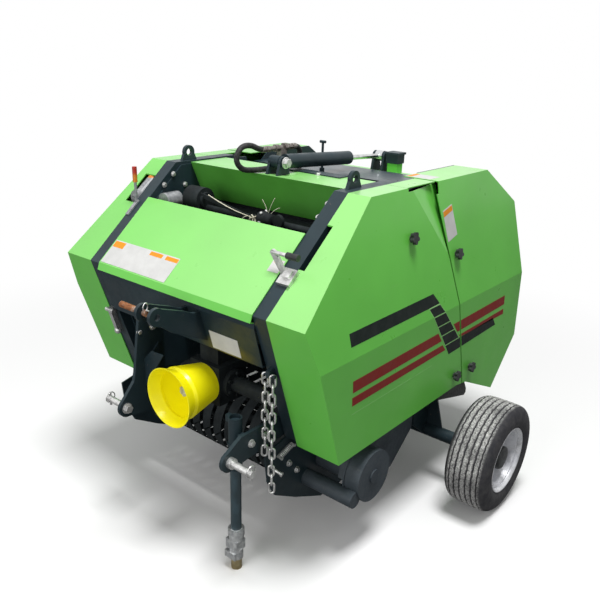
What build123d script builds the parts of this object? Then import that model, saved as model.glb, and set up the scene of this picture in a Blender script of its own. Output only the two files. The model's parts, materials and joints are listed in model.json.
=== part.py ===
from build123d import *
import math
import os

# Small round baler for a three-point hitch, driven by a tractor's shaft.
# Millimetres. X runs across the machine, Y from the hitch to the tailgate, Z up from the ground.
# Places are measured from the middle of the chamber's width and from the ground under it.
# The last function moves everything along Y so that the frame's origin is under the middle of the box.

# Sheet and plate thicknesses
SHEET = 3.0
PLATE = 6.0
HITCH_PLATE = 12.0
MOVING_GAP = 6.0
FIT_GAP = 0.3
RUN_GAP = 0.08
SIDE_PLAY = 1.5

# Chamber
CHAMBER_HALF = 344.0
POST_W = 50.0
POST_INNER = CHAMBER_HALF + PLATE
CHAMBER_Y = 150.0
CHAMBER_Z = 710.0
ROLLER_CIRCLE = 375.0
ROLLER_R = 60.0
ROLLER_SHAFT_R = 15.0
ROLLER_RIB = 6.0
ROLLER_RIBS = 6
# Angles round the chamber, from +Y towards +Z
FRONT_ROLLERS = (106, 136, 166, 196, 254, 284)
REAR_ROLLERS = (74, 44, 14, -16, -46)

# Line where the front doors meet the rear doors
SPLIT_TOP = (95.0, 1165.0)
SPLIT_BOTTOM = (314.0, 412.0)

# Side doors: a folded profile along Y, Z and the widths of its top edge and its crease
DOOR_INNER = POST_INNER + POST_W
DOOR_TOP_X = DOOR_INNER + 80
DOOR_OUTER = DOOR_TOP_X + 80
TOP_Z = 1170.0
CREASE_Z = 746.0
FRONT_TOP_Y = -257.0
NOSE = (-602.0, 874.0)
FRONT_CREASE_Y = -561.0
FRONT_FOOT = (-454.0, 417.0)
BELLY = (270.0, 413.0)
REAR_BELLY = (344.0, 401.0)
REAR_FOOT = (596.0, 282.0)
REAR_HEEL = (766.0, 470.0)
REAR_Y = 745.0
REAR_SHOULDER = (695.0, 1031.0)
REAR_TOP_Y = 475.0
TOP_FLANGE_START = -58.0
TOP_FLANGE_END = 110.0
FLANGE_CLEAR = 12.0
FACET_TOP = (-38.0, 1164.0)
FACET_FOOT = (173.0, 909.0)
FACET_ANGLE = 12.0
# The folded corner reaches behind the rear door where it lies deep enough
TUCK = 55.0
TUCK_DEPTH = 10.0
# Slots in the front doors' slopes beside the posts: width, then from and to along Y
NEAR_SLOT = (20.0, -470.0, -348.0)
FAR_SLOT = (52.0, -407.0, -310.0)

# Front posts and rails
POST_D = 40.0
POST_FOOT_Z = 432.0
RAIL_END_Y = 30.0

# Tailgate hinge and its cylinder
HINGE_Y = 60.0
HINGE_Z = 1100.0
HINGE_PIN_R = 14.0
HINGE_ARM_R = 25.0
HINGE_ARM = 10.0
CYL_X = 35.0
CYL_FRONT = (-152.0, 1206.0)
CYL_REAR = (458.0, 1172.0)
CYL_R = 24.0
ROD_R = 9.0
BARREL_END = 392.0
EYE_R = 20.0
EYE_W = 32.0
EAR = 10.0
CYL_PIN_R = 9.5
BLOCK_X = 100.0
BLOCK_Y = 462.0
BLOCK_Z = 1150.0
LATCH_X = -10.0
LATCH_Y = 142.0
LATCH_TOP = 1244.0

# Wheels and axle
WHEEL_Y = 250.0
TYRE_R = 203.0
TYRE_W = 165.0
WHEEL_X = DOOR_OUTER + 84.5 + TYRE_W / 2
RIM_R = TYRE_R - 90
TREAD_DEPTH = 7.0
TREAD_GROOVE = 7.0
TREAD_PITCH = 24.0
WHEEL_BOLTS = 5
HUB_R = 42.0
AXLE_R = 25.0
SPINDLE_R = 14.0
ARM_X = 470.0
ARM_TOP = BELLY[1] - 7

# Hitch
HITCH_X = 95.0
LOWER_PIN_R = 11.0
LOWER_PIN_Y = -687.0
LOWER_PIN_Z = 446.0
LOWER_PIN_LEN = 92.0
COLLAR_R = 17.0
COLLAR = 14.0
NEAR_PLATE_X = CHAMBER_HALF - HITCH_PLATE
FAR_PLATE_X = -142.0
LOBE_R = 32.0
MAST_Y = -750.0
MAST_Z = 850.0
MAST_GAP = 46.0
MAST_HOLE_R = 10.0
MAST_R = 27.0
BEAM_Z = 705.0
BEAM_H = 60.0
BEAM_Y = -545.0
BEAM_D = 60.0
PANEL_TOP = (-592.0, 832.0)
PANEL_FOOT = (-556.0, BEAM_Z)
BEAM_TOP = TOP_Z - 4
BEAM_REAR = -20.0
GUARD_PLATE_Z = 1138.0
GUARD_PLATE_END = 85.0
GATE_DECK = 1112.0

# Drive
PTO_Z = 568.0
PTO_R = 17.45
PTO_FRONT = -640.0
PTO_ROOT_R = 14.4
SPLINE_END = -596.0
SHAFT_LAND_END = -560.0
SPLINES = 6
BOX_FRONT = -550.0
BOX_D = 120.0
BOX_W = 130.0
BOX_H = 130.0
GUARD_FRONT = -700.0
SPLINE_R = 16.9

# Pickup
PICKUP_Y = -253.0
PICKUP_Z = 280.0
BAND_R = 136.0
BAND_W = 38.0
BANDS = 12
BAND_REAR = -60.0
TINE_R = 172.0
TINE_WIRE = 3.0
TINE_BAR_R = 9.0
TINE_BARS = 4
BAR_CIRCLE = 72.0
REEL_DISC_R = 86.0
COVER_R = 89.0
COVER_OUT = DOOR_OUTER
COVER_DEPTH = 60.0

# Jack leg
JACK_X = NEAR_PLATE_X - 35
JACK_Y = -618.0
JACK_R = 17.0
SLEEVE_R = 21.0
SLEEVE_TOP = 548.0
SLEEVE_FOOT = 372.0
JACK_FOOT_R = 17.5

# Door knobs: Y, Z on the near side; the first two hold the front door, the others the rear door
FRONT_KNOBS = ((-66.0, 1022.0), (240.0, 466.0))
REAR_KNOBS = ((210.0, 922.0), (359.0, 461.0))
KNOB_R = 20.0
KNOB_H = 20.0
KNOB_LOBES = 5

# Fittings on the front posts
CRANK_Y = -499.0
CRANK_Z = 1029.0
CRANK_FROM = POST_INNER - 20
CRANK_TO = POST_INNER + 72
CRANK_GRIP = CRANK_TO - 40
LEVER_X = -POST_INNER - 40
LEVER_Y = -407.0
LEVER_TOP = 1165.0

# Safety chains: X and the height of each strand's lower end
CHAINS = ((POST_INNER + 12, 425.0), (POST_INNER + 40, 285.0))
CHAIN_Y = -560.0
CHAIN_TOP = 690.0
LINK_PITCH = 31.0
LINK_WIRE = 8.0
LINK_W = 28.0

# Oil hoses over the top beam
HOSE_R = 6.0
VALVE_X = -30.0
VALVE_Z = BEAM_TOP + 72
VALVE_FRONT = -140.0
VALVE_REAR = -8.0

# Twine feeder in the bay under the hood
FEEDER_Y = -268.0
FEEDER_Z = 1062.0
FEEDER_R = 42.0
GUIDE_R = 12.0

# Lifting lugs on the rails
LUG_Y = -185.0
LUG_Z = TOP_Z + 28
LUG_R = 24.0
LUG_HOLE_R = 12.5

parts = {}


def add(name, shape):
    """Keep a shape under its sub-part's name."""
    parts[name] = shape


def brick(x0, x1, y0, y1, z0, z1):
    """A box between two corners."""
    return Pos((x0 + x1) / 2, (y0 + y1) / 2, (z0 + z1) / 2) * Box(x1 - x0, y1 - y0, z1 - z0)


def prism(points, x0, x1):
    """An outline in Y and Z, drawn out along X from x0 to x1."""
    face = Plane.YZ.offset(x0) * make_face(Polyline(*points, close=True))
    return extrude(face, amount=x1 - x0, dir=(1, 0, 0))


def rod_x(y, z, r, x0, x1):
    """A round bar along X."""
    return Pos((x0 + x1) / 2, y, z) * Rot(0, 90, 0) * Cylinder(r, x1 - x0)


def rod_y(x, z, r, y0, y1):
    """A round bar along Y."""
    return Pos(x, (y0 + y1) / 2, z) * Rot(90, 0, 0) * Cylinder(r, y1 - y0)


def rod_z(x, y, r, z0, z1):
    """An upright round bar."""
    return Pos(x, y, (z0 + z1) / 2) * Cylinder(r, z1 - z0)


def beside(line, depth):
    """Points of a line in Y and Z moved by depth to its left, with mitred corners."""
    moved = []
    for i, (y, z) in enumerate(line):
        normals = []
        for a, b in ((i - 1, i), (i, i + 1)):
            if a < 0 or b >= len(line):
                continue
            dy = line[b][0] - line[a][0]
            dz = line[b][1] - line[a][1]
            run = math.hypot(dy, dz)
            normals.append((-dz / run, dy / run))
        ny = sum(n[0] for n in normals) / len(normals)
        nz = sum(n[1] for n in normals) / len(normals)
        size = ny * ny + nz * nz
        moved.append((y + depth * ny / size, z + depth * nz / size))
    return moved


def bent_sheet(line, depth, x0, x1):
    """A sheet folded along a line in Y and Z, as thick as depth on the line's left."""
    return prism(list(line) + beside(line, depth)[::-1], x0, x1)


def mirrored(shape):
    """A shape's mirror image across the middle of the machine."""
    return mirror(shape, about=Plane.YZ)


def add_sides(name, shape):
    """Keep a near shape and its mirror image as two sub-parts."""
    add(f"{name}_near", shape)
    add(f"{name}_far", mirrored(shape))


def add_pair(name, shape):
    """Keep a near shape and its mirror image as one sub-part."""
    add(name, Compound([*shape.solids(), *mirrored(shape).solids()]))


def roller_place(angle):
    """Y and Z of a chamber roller's axis."""
    a = math.radians(angle)
    return CHAMBER_Y + ROLLER_CIRCLE * math.cos(a), CHAMBER_Z + ROLLER_CIRCLE * math.sin(a)


def slope_z(y):
    """Height of the posts' sloped front face at a place along Y."""
    t = (y - NOSE[0]) / (FRONT_TOP_Y - NOSE[0])
    return NOSE[1] + t * (TOP_Z - NOSE[1])


def on_slope(x, y):
    """Location on the posts' sloped front face, with +Z pointing out of it."""
    lean = math.degrees(math.atan2(TOP_Z - NOSE[1], FRONT_TOP_Y - NOSE[0]))
    return Pos(x, y, slope_z(y)) * Rot(lean, 0, 0)


def shin_y(z):
    """Y of the posts' lower front face at a height."""
    t = (z - NOSE[1]) / (FRONT_FOOT[1] + 15 - NOSE[1])
    return NOSE[0] + t * (FRONT_FOOT[0] - NOSE[0])


def tube_along(points, r):
    """A round hose through points, its corners rounded as far as the shorter run allows."""
    radii = []
    for a, b, c in zip(points, points[1:], points[2:]):
        u, v = Vector(*b) - Vector(*a), Vector(*c) - Vector(*b)
        half_turn = math.radians(u.get_angle(v)) / 2
        radii.append(0.45 * min(u.length, v.length) / math.tan(half_turn))
    line = FilletPolyline(*points, radius=radii)
    return sweep(Plane(line @ 0, z_dir=line % 0) * Circle(r), path=line)


def panel_front(z):
    """Y of the front panel's outer face at a height."""
    t = (z - PANEL_FOOT[1]) / (PANEL_TOP[1] - PANEL_FOOT[1])
    return PANEL_FOOT[0] + t * (PANEL_TOP[0] - PANEL_FOOT[0]) - SHEET - FIT_GAP


def split_y(z):
    """Y of the line between front and rear doors at a height."""
    t = (z - SPLIT_BOTTOM[1]) / (SPLIT_TOP[1] - SPLIT_BOTTOM[1])
    return SPLIT_BOTTOM[0] + t * (SPLIT_TOP[0] - SPLIT_BOTTOM[0])


def half_region(rear, gap, far=1500.0):
    """The space in front of the split line, or behind it, less half of a gap."""
    shift = gap / 2 if rear else -gap / 2
    side = far if rear else -far
    low, high = 0.0, 1600.0
    outline = [(split_y(low) + shift, low), (split_y(high) + shift, high), (side, high), (side, low)]
    return prism(outline, -far, far)


DOOR_PROFILE = [
    (FRONT_TOP_Y, TOP_Z), NOSE, (FRONT_CREASE_Y, CREASE_Z), FRONT_FOOT, BELLY, REAR_BELLY,
    REAR_FOOT, REAR_HEEL, (REAR_Y, CREASE_Z), REAR_SHOULDER, (REAR_TOP_Y, TOP_Z),
]


def door_body(inset, inner):
    """The solid space of a side door from X inner outwards, taken in by inset on its other faces."""
    face = make_face(Polyline(*DOOR_PROFILE, close=True))
    if inset:
        face = offset(face, -inset, kind=Kind.INTERSECTION)
    lean = (DOOR_OUTER - DOOR_TOP_X) / (TOP_Z - CREASE_Z)
    out = DOOR_OUTER - inset
    start = inner - (1 if inset else 0)
    body = extrude(Plane.YZ.offset(start) * face, amount=out - start, dir=(1, 0, 0))
    spare = 60.0
    slope = Polyline(
        (out, CREASE_Z), (out - lean * (TOP_Z + spare - CREASE_Z), TOP_Z + spare),
        (out + spare, TOP_Z + spare), (out + spare, CREASE_Z), close=True)
    wedge = extrude(Plane.XZ.offset(-900) * make_face(slope), amount=1800, dir=(0, -1, 0))
    return body - wedge


def facet_cut(inset):
    """The space outside the front door's corner that is folded in beside the tailgate's path."""
    lean = (DOOR_OUTER - DOOR_TOP_X) / (TOP_Z - CREASE_Z)
    ends = [Vector(DOOR_TOP_X + lean * (TOP_Z - z), y, z) for y, z in (FACET_TOP, FACET_FOOT)]
    skin = Vector(1, 0, lean).normalized()
    along = (ends[1] - ends[0]).normalized()
    across = skin.cross(along)
    if across.Y < 0:
        across = across * -1
    turn = math.radians(FACET_ANGLE)
    normal = skin * math.cos(turn) + across * math.sin(turn)
    plane = Plane(origin=ends[0] - normal * inset, z_dir=normal)
    size = 2000.0
    return plane * Pos(0, 0, size / 2) * Box(size, size, size)


def side_doors():
    """Front door, rear door and the fixed flange over their meeting, on the near side."""
    shell = door_body(0, POST_INNER) - door_body(SHEET, POST_INNER)
    folded = (door_body(0, DOOR_INNER) - facet_cut(0)) - (door_body(SHEET, DOOR_INNER) - facet_cut(SHEET))
    head = brick(DOOR_INNER - 100, DOOR_OUTER + 100, TOP_FLANGE_START - 2, 900, TOP_Z - FLANGE_CLEAR, TOP_Z + 10)
    tucked = door_body(TUCK_DEPTH, DOOR_INNER) & half_region(False, -2 * TUCK)
    front = (folded & (half_region(False, MOVING_GAP) + tucked)) - head
    rear = (shell & half_region(True, MOVING_GAP))
    rear -= brick(POST_INNER - 50, DOOR_OUTER + 100, -900, TOP_FLANGE_END + 2 * MOVING_GAP, TOP_Z - 40, TOP_Z + 10)
    flange = brick(DOOR_INNER, DOOR_TOP_X - MOVING_GAP, TOP_FLANGE_START, TOP_FLANGE_END, TOP_Z - SHEET, TOP_Z)
    return front, rear, flange


def chassis_side():
    """Front half of one chamber wall, with holes for the roller shafts."""
    outline = [
        (FRONT_TOP_Y + 20, TOP_Z - 10), (NOSE[0] + 45, NOSE[1]), (-425, POST_FOOT_Z),
        (-330, 410), (-100, 330), (-40, 262), (split_y(262) - 80, 262),
        (split_y(400) - MOVING_GAP, 400), (split_y(TOP_Z - 10) - MOVING_GAP, TOP_Z - 10),
    ]
    wall = prism(outline, CHAMBER_HALF, CHAMBER_HALF + PLATE)
    for angle in FRONT_ROLLERS:
        y, z = roller_place(angle)
        wall -= rod_x(y, z, ROLLER_SHAFT_R + RUN_GAP, CHAMBER_HALF - 1, CHAMBER_HALF + PLATE + 1)
    return wall


def gate_side():
    """Rear half of one chamber wall."""
    outline = [
        (HINGE_Y + 155, TOP_Z), (split_y(HINGE_Z - 10) + MOVING_GAP, HINGE_Z - 10),
        (split_y(REAR_BELLY[1] + 5) + MOVING_GAP, REAR_BELLY[1] + 5), REAR_BELLY, REAR_FOOT,
        REAR_HEEL, (REAR_Y, CREASE_Z), REAR_SHOULDER, (REAR_TOP_Y, TOP_Z),
    ]
    wall = prism(outline, CHAMBER_HALF, CHAMBER_HALF + PLATE)
    for angle in REAR_ROLLERS:
        y, z = roller_place(angle)
        wall -= rod_x(y, z, ROLLER_SHAFT_R + RUN_GAP, CHAMBER_HALF - 1, CHAMBER_HALF + PLATE + 1)
    return wall


def post():
    """One bent front post with its top rail and its foot plate."""
    line = [(RAIL_END_Y, TOP_Z), (FRONT_TOP_Y, TOP_Z), NOSE, (FRONT_FOOT[0], FRONT_FOOT[1] + 15)]
    return bent_sheet(line, POST_D, POST_INNER, POST_INNER + POST_W)


def roller():
    """One ribbed chamber roller about the X axis, with its shaft."""
    half = CHAMBER_HALF - SIDE_PLAY
    drum = rod_x(0, 0, ROLLER_R - ROLLER_RIB, -half, half)
    rib = brick(-half, half, -4, 4, ROLLER_R - ROLLER_RIB - 4, ROLLER_R)
    for i in range(ROLLER_RIBS):
        drum += Rot(360 / ROLLER_RIBS * i, 0, 0) * rib
    return drum + rod_x(0, 0, ROLLER_SHAFT_R, -CHAMBER_HALF - PLATE, CHAMBER_HALF + PLATE)


def along_cylinder():
    """Location at the cylinder's front eye with +Y pointing at its rear eye."""
    dy = CYL_REAR[0] - CYL_FRONT[0]
    dz = CYL_REAR[1] - CYL_FRONT[1]
    return Pos(CYL_X, *CYL_FRONT) * Rot(math.degrees(math.atan2(dz, dy)), 0, 0)


def build():
    # Chamber walls
    wall = chassis_side()
    gate = gate_side()

    # Hinge arms carried by the tailgate, pins carried by the chassis
    arm_x = CHAMBER_HALF + PLATE + MOVING_GAP
    arm_end = HINGE_Y + 190
    arm = prism([(HINGE_Y, HINGE_Z - HINGE_ARM_R), (arm_end, HINGE_Z - HINGE_ARM_R - 40),
                 (arm_end, HINGE_Z + HINGE_ARM_R), (HINGE_Y, HINGE_Z + HINGE_ARM_R)],
                arm_x, arm_x + HINGE_ARM)
    arm += rod_x(HINGE_Y, HINGE_Z, HINGE_ARM_R, arm_x, arm_x + HINGE_ARM)
    arm += brick(CHAMBER_HALF + PLATE, arm_x, arm_end - 60, arm_end, HINGE_Z - 40, HINGE_Z + HINGE_ARM_R)
    arm -= rod_x(HINGE_Y, HINGE_Z, HINGE_PIN_R + RUN_GAP, arm_x - 1, arm_x + HINGE_ARM + 1)
    add_sides("tailgate_wall", gate + arm)
    arm_out = arm_x + HINGE_ARM
    wall += rod_x(HINGE_Y, HINGE_Z, HINGE_PIN_R, POST_INNER, arm_out + 4)
    wall += rod_x(HINGE_Y, HINGE_Z, HINGE_PIN_R + 7, arm_out + SIDE_PLAY, arm_out + 10)
    add_sides("chamber_wall", wall)
    add_sides("front_post", post())

    # Doors
    front, rear, flange = side_doors()
    add_pair("top_flanges", flange)
    for name, shape, side, (wide, start, end) in (("front_door_near", front, 1, NEAR_SLOT),
                                                  ("front_door_far", mirrored(front), -1, FAR_SLOT)):
        lo, hi = sorted((side * (DOOR_INNER - 1), side * (DOOR_INNER + wide)))
        add(name, shape - brick(lo, hi, start, end, CREASE_Z, TOP_Z - SHEET))
    add_sides("rear_door", rear)

    # Cross members between the posts
    half = POST_INNER
    beam = [(FRONT_TOP_Y + 122, 1035), (FRONT_TOP_Y + 63, BEAM_TOP), (BEAM_REAR, BEAM_TOP), (BEAM_REAR, 1110)]
    add("top_beam", bent_sheet(beam, -SHEET, -CHAMBER_HALF, CHAMBER_HALF))
    cover = brick(-CHAMBER_HALF, CHAMBER_HALF, BEAM_REAR, GUARD_PLATE_END, GUARD_PLATE_Z, GUARD_PLATE_Z + SHEET)
    strip = brick(0, 225, BEAM_REAR - 46, BEAM_REAR, BEAM_TOP, BEAM_TOP + 4)
    add("top_guard_plate", Compound([*cover.solids(), *strip.solids()]))
    hood = [(-372, 1047), (-386, 1061), (-600, 876), (-607, 856), (-595, 852)]
    add("hood", bent_sheet(hood, -SHEET, -half, half))
    panel = [(-588, 866), PANEL_TOP, PANEL_FOOT, (BEAM_Y + 10, BEAM_Z)]
    add("front_panel", bent_sheet(panel, -SHEET, -half, half))
    add("cross_beam", brick(-CHAMBER_HALF, CHAMBER_HALF, BEAM_Y, BEAM_Y + BEAM_D, BEAM_Z, BEAM_Z + BEAM_H))

    # Rollers
    for label, angles in (("front", FRONT_ROLLERS), ("rear", REAR_ROLLERS)):
        for i, angle in enumerate(angles):
            y, z = roller_place(angle)
            add(f"{label}_roller_{i + 1}", Pos(0, y, z) * roller())

    # Back panel of the tailgate
    inset = 12.0
    back = [(130, GUARD_PLATE_Z + 2), (318, GUARD_PLATE_Z + 2), (345, GATE_DECK), (REAR_TOP_Y + 20, GATE_DECK),
            (REAR_SHOULDER[0] - inset, REAR_SHOULDER[1] - inset),
            (REAR_Y - inset, CREASE_Z), (REAR_HEEL[0] - inset, REAR_HEEL[1] + 10)]
    panel = bent_sheet(back, -SHEET, -CHAMBER_HALF, CHAMBER_HALF)
    rib_line = [(REAR_SHOULDER[0] - inset + 5, REAR_SHOULDER[1] - 60), (REAR_Y - inset, CREASE_Z),
                (REAR_HEEL[0] - inset - 1, REAR_HEEL[1] + 30)]
    for x in (-CHAMBER_HALF / 2, 0, CHAMBER_HALF / 2):
        panel += bent_sheet(rib_line, 10, x - 20, x + 20)
    panel += brick(BLOCK_X - 22, BLOCK_X + 22, BLOCK_Y - 20, BLOCK_Y + 20, GATE_DECK, BLOCK_Z)
    add("back_panel", panel)

    # Cylinder
    at = along_cylinder()
    length = math.hypot(CYL_REAR[0] - CYL_FRONT[0], CYL_REAR[1] - CYL_FRONT[1])
    barrel = rod_x(0, 0, EYE_R, -EYE_W / 2, EYE_W / 2) + rod_y(0, 0, CYL_R, EYE_R + 14, BARREL_END)
    barrel += brick(-EYE_W / 2, EYE_W / 2, 0, EYE_R + 20, -14, 14)
    barrel -= rod_y(0, 0, ROD_R + RUN_GAP, 60, BARREL_END + 1)
    barrel -= rod_x(0, 0, CYL_PIN_R + RUN_GAP, -EYE_W, EYE_W)
    rod = rod_x(length, 0, EYE_R, -EYE_W / 2, EYE_W / 2) + rod_y(0, 0, ROD_R, 200, length - EYE_R + 4)
    rod -= rod_x(length, 0, CYL_PIN_R + RUN_GAP, -EYE_W, EYE_W)
    add("cylinder_barrel", at * barrel)
    add("cylinder_rod", at * rod)
    clevis = None
    for side in (-1, 1):
        x0 = CYL_X + side * (EYE_W / 2 + SIDE_PLAY)
        x1 = x0 + side * EAR
        lo, hi = min(x0, x1), max(x0, x1)
        ear = prism([(CYL_FRONT[0] - 30, BEAM_TOP), (CYL_FRONT[0] + 30, BEAM_TOP),
                     (CYL_FRONT[0] + 18, CYL_FRONT[1]), (CYL_FRONT[0] - 18, CYL_FRONT[1])], lo, hi)
        ear += rod_x(CYL_FRONT[0], CYL_FRONT[1], 19, lo, hi)
        clevis = ear if clevis is None else clevis + ear
    reach = EYE_W / 2 + SIDE_PLAY + EAR + 8
    clevis += rod_x(CYL_FRONT[0], CYL_FRONT[1], CYL_PIN_R, CYL_X - reach, CYL_X + reach)
    add("cylinder_front_clevis", clevis)
    ears = None
    for side in (-1, 1):
        x0 = CYL_X + side * (EYE_W / 2 + SIDE_PLAY)
        x1 = x0 + side * EAR
        lo, hi = min(x0, x1), max(x0, x1)
        ear = prism([(CYL_REAR[0] - 28, GATE_DECK), (CYL_REAR[0] + 34, GATE_DECK),
                     (CYL_REAR[0] + 18, CYL_REAR[1]), (CYL_REAR[0] - 18, CYL_REAR[1])], lo, hi)
        ear += rod_x(CYL_REAR[0], CYL_REAR[1], 19, lo, hi)
        ears = ear if ears is None else ears + ear
    block = brick(BLOCK_X - 26, BLOCK_X + 26, BLOCK_Y - 24, BLOCK_Y + 24, BLOCK_Z, BLOCK_Z + 34)
    block += brick(BLOCK_X - 30, BLOCK_X + 30, BLOCK_Y - 28, BLOCK_Y + 28, BLOCK_Z + 34, BLOCK_Z + 42)
    latch = rod_z(LATCH_X, LATCH_Y, 4.5, GUARD_PLATE_Z + 2, LATCH_TOP)
    latch += rod_z(LATCH_X, LATCH_Y, 9, GUARD_PLATE_Z + 2, GUARD_PLATE_Z + 14)
    latch += rod_x(LATCH_Y, LATCH_TOP, 5, LATCH_X - 12, LATCH_X + 12)
    add("cylinder_rear_clevis", Compound([*ears.solids(), *block.solids(), *latch.solids()]))

    # Axle and wheels
    stub = WHEEL_X - TYRE_W / 2 - 22
    axle = rod_x(WHEEL_Y, TYRE_R, AXLE_R, -stub, stub)
    for side in (-1, 1):
        lo, hi = sorted((side * POST_INNER, side * (POST_INNER + 8)))
        axle += prism([(WHEEL_Y - 45, TYRE_R - 20), (WHEEL_Y + 45, TYRE_R - 20), (WHEEL_Y + 50, 300),
                       (WHEEL_Y - 60, 300)], lo, hi)
        lo, hi = sorted((side * (ARM_X - 8), side * ARM_X))
        axle += prism([(128, ARM_TOP), (140, 262), (232, 188), (WHEEL_Y + 14, 188), (WHEEL_Y + 14, ARM_TOP)], lo, hi)
        lo, hi = sorted((side * POST_INNER, side * ARM_X))
        axle += brick(lo, hi, 140, WHEEL_Y, ARM_TOP - 30, ARM_TOP - 22)
        gusset = Polyline((side * (ARM_X - 4), TYRE_R), (side * (ARM_X - 4), ARM_TOP), (side * (ARM_X + 14), ARM_TOP),
                          (side * (ARM_X + 66), TYRE_R + 14), (side * (ARM_X + 66), TYRE_R), close=True)
        axle += extrude(Plane.XZ.offset(-WHEEL_Y + 4) * make_face(gusset), amount=8, dir=(0, 1, 0))
        lo, hi = sorted((side * stub, side * (WHEEL_X + 30)))
        axle += rod_x(WHEEL_Y, TYRE_R, SPINDLE_R, lo, hi)
    add("axle", axle)
    tread = []
    for k in (-1.5, -0.5, 0.5, 1.5):
        low, high = k * TREAD_PITCH - TREAD_GROOVE / 2, k * TREAD_PITCH + TREAD_GROOVE / 2
        tread += [(TYRE_R, low), (TYRE_R - TREAD_DEPTH, low + 1), (TYRE_R - TREAD_DEPTH, high - 1), (TYRE_R, high)]
    profile = Polyline((RIM_R + 2, -TYRE_W / 2 + 18), (RIM_R + 30, -TYRE_W / 2), (TYRE_R - 22, -TYRE_W / 2 + 4),
                       (TYRE_R - 5, -TYRE_W / 2 + 16), (TYRE_R, -TYRE_W / 2 + 30), *tread,
                       (TYRE_R, TYRE_W / 2 - 30), (TYRE_R - 5, TYRE_W / 2 - 16), (TYRE_R - 22, TYRE_W / 2 - 4),
                       (RIM_R + 30, TYRE_W / 2), (RIM_R + 2, TYRE_W / 2 - 18), close=True)
    tyre = revolve(Plane.XZ * make_face(profile), axis=Axis.Z)
    rim_line = Polyline((SPINDLE_R + RUN_GAP, -30), (HUB_R, -30), (HUB_R, -6), (RIM_R - 30, -6),
                        (RIM_R - 14, -60), (RIM_R + 2 - FIT_GAP, -62), (RIM_R + 2 - FIT_GAP, 62), (RIM_R - 10, 62),
                        (RIM_R - 22, 6), (HUB_R, 4), (HUB_R, 38), (SPINDLE_R + RUN_GAP, 38), close=True)
    rim = revolve(Plane.XZ * make_face(rim_line), axis=Axis.Z)
    for i in range(WHEEL_BOLTS):
        nut = Pos(HUB_R + 14, 0, 9) * extrude(RegularPolygon(9, 6), amount=9)
        rim += Rot(0, 0, 360 / WHEEL_BOLTS * i) * (nut + Pos(HUB_R + 14, 0, 6) * Cylinder(9, 8))
    place = Pos(WHEEL_X, WHEEL_Y, TYRE_R) * Rot(0, 90, 0)
    add_sides("tyre", place * tyre)
    add_sides("rim", place * rim)

    # Hitch
    build_hitch()
    build_drive()
    build_pickup()
    build_jack()
    build_lugs()
    build_knobs()
    build_post_fittings()
    build_chains()
    build_hoses()
    build_feeder()


def build_hitch():
    near = prism([(-380, 508), (-640, 508), (LOWER_PIN_Y - 20, LOWER_PIN_Z + 24), (LOWER_PIN_Y - 6, LOWER_PIN_Z - 31),
                  (-588, 425), (-380, 440)], NEAR_PLATE_X, NEAR_PLATE_X + HITCH_PLATE)
    near += rod_x(LOWER_PIN_Y, LOWER_PIN_Z, LOBE_R, NEAR_PLATE_X, NEAR_PLATE_X + HITCH_PLATE)
    under = BEAM_Z - SHEET
    far = prism([(BEAM_Y + 20, under), (panel_front(under), under), (panel_front(750), 750), (-620, 750),
                 (-648, 560), (-655, 530), (LOWER_PIN_Y - 24, LOWER_PIN_Z + 20), (LOWER_PIN_Y - 4, LOWER_PIN_Z - 31),
                 (-559, 400), (BEAM_Y + 20, 420)], FAR_PLATE_X, FAR_PLATE_X + HITCH_PLATE)
    far += rod_x(LOWER_PIN_Y, LOWER_PIN_Z, LOBE_R, FAR_PLATE_X, FAR_PLATE_X + HITCH_PLATE)
    gusset_x = FAR_PLATE_X + HITCH_PLATE
    gusset = prism([(-600, 508), (-600, 590), (-552, 640), (-552, 508)], gusset_x, gusset_x + 6)
    gusset += brick(gusset_x, gusset_x + 62, -606, -600, 520, 596)
    far += gusset
    add("hitch_plates", Compound([*near.solids(), *far.solids()]))
    outer = NEAR_PLATE_X + HITCH_PLATE
    near_pin = rod_x(LOWER_PIN_Y, LOWER_PIN_Z, LOWER_PIN_R, outer, outer + LOWER_PIN_LEN)
    near_pin += rod_x(LOWER_PIN_Y, LOWER_PIN_Z, COLLAR_R, outer, outer + COLLAR)
    far_pin = rod_x(LOWER_PIN_Y, LOWER_PIN_Z, LOWER_PIN_R, FAR_PLATE_X - LOWER_PIN_LEN, FAR_PLATE_X)
    far_pin += rod_x(LOWER_PIN_Y, LOWER_PIN_Z, COLLAR_R, FAR_PLATE_X - COLLAR, FAR_PLATE_X)
    add("hitch_pins", Compound([*near_pin.solids(), *far_pin.solids()]))
    mast = None
    for side in (-1, 1):
        x0 = HITCH_X + side * MAST_GAP / 2
        lo, hi = sorted((x0, x0 + side * HITCH_PLATE))
        ear = prism([(MAST_Y, MAST_Z + MAST_R), (MAST_Y - MAST_R, MAST_Z), (-700, 790), (panel_front(725), 725),
                     (panel_front(826), 826), (-620, 828), (-650, 842)], lo, hi)
        ear += rod_x(MAST_Y, MAST_Z, MAST_R, lo, hi)
        ear -= rod_x(MAST_Y, MAST_Z, MAST_HOLE_R, lo - 1, hi + 1)
        mast = ear if mast is None else mast + ear
    add("mast", mast)
    ear_far = HITCH_X - MAST_GAP / 2 - HITCH_PLATE
    link_pin = rod_x(MAST_Y, MAST_Z, MAST_HOLE_R - 0.5, ear_far - 92, ear_far + HITCH_PLATE + 14)
    link_pin += rod_x(MAST_Y, MAST_Z, MAST_HOLE_R + 5, ear_far - 14, ear_far)
    add("top_link_pin", link_pin)


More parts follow.
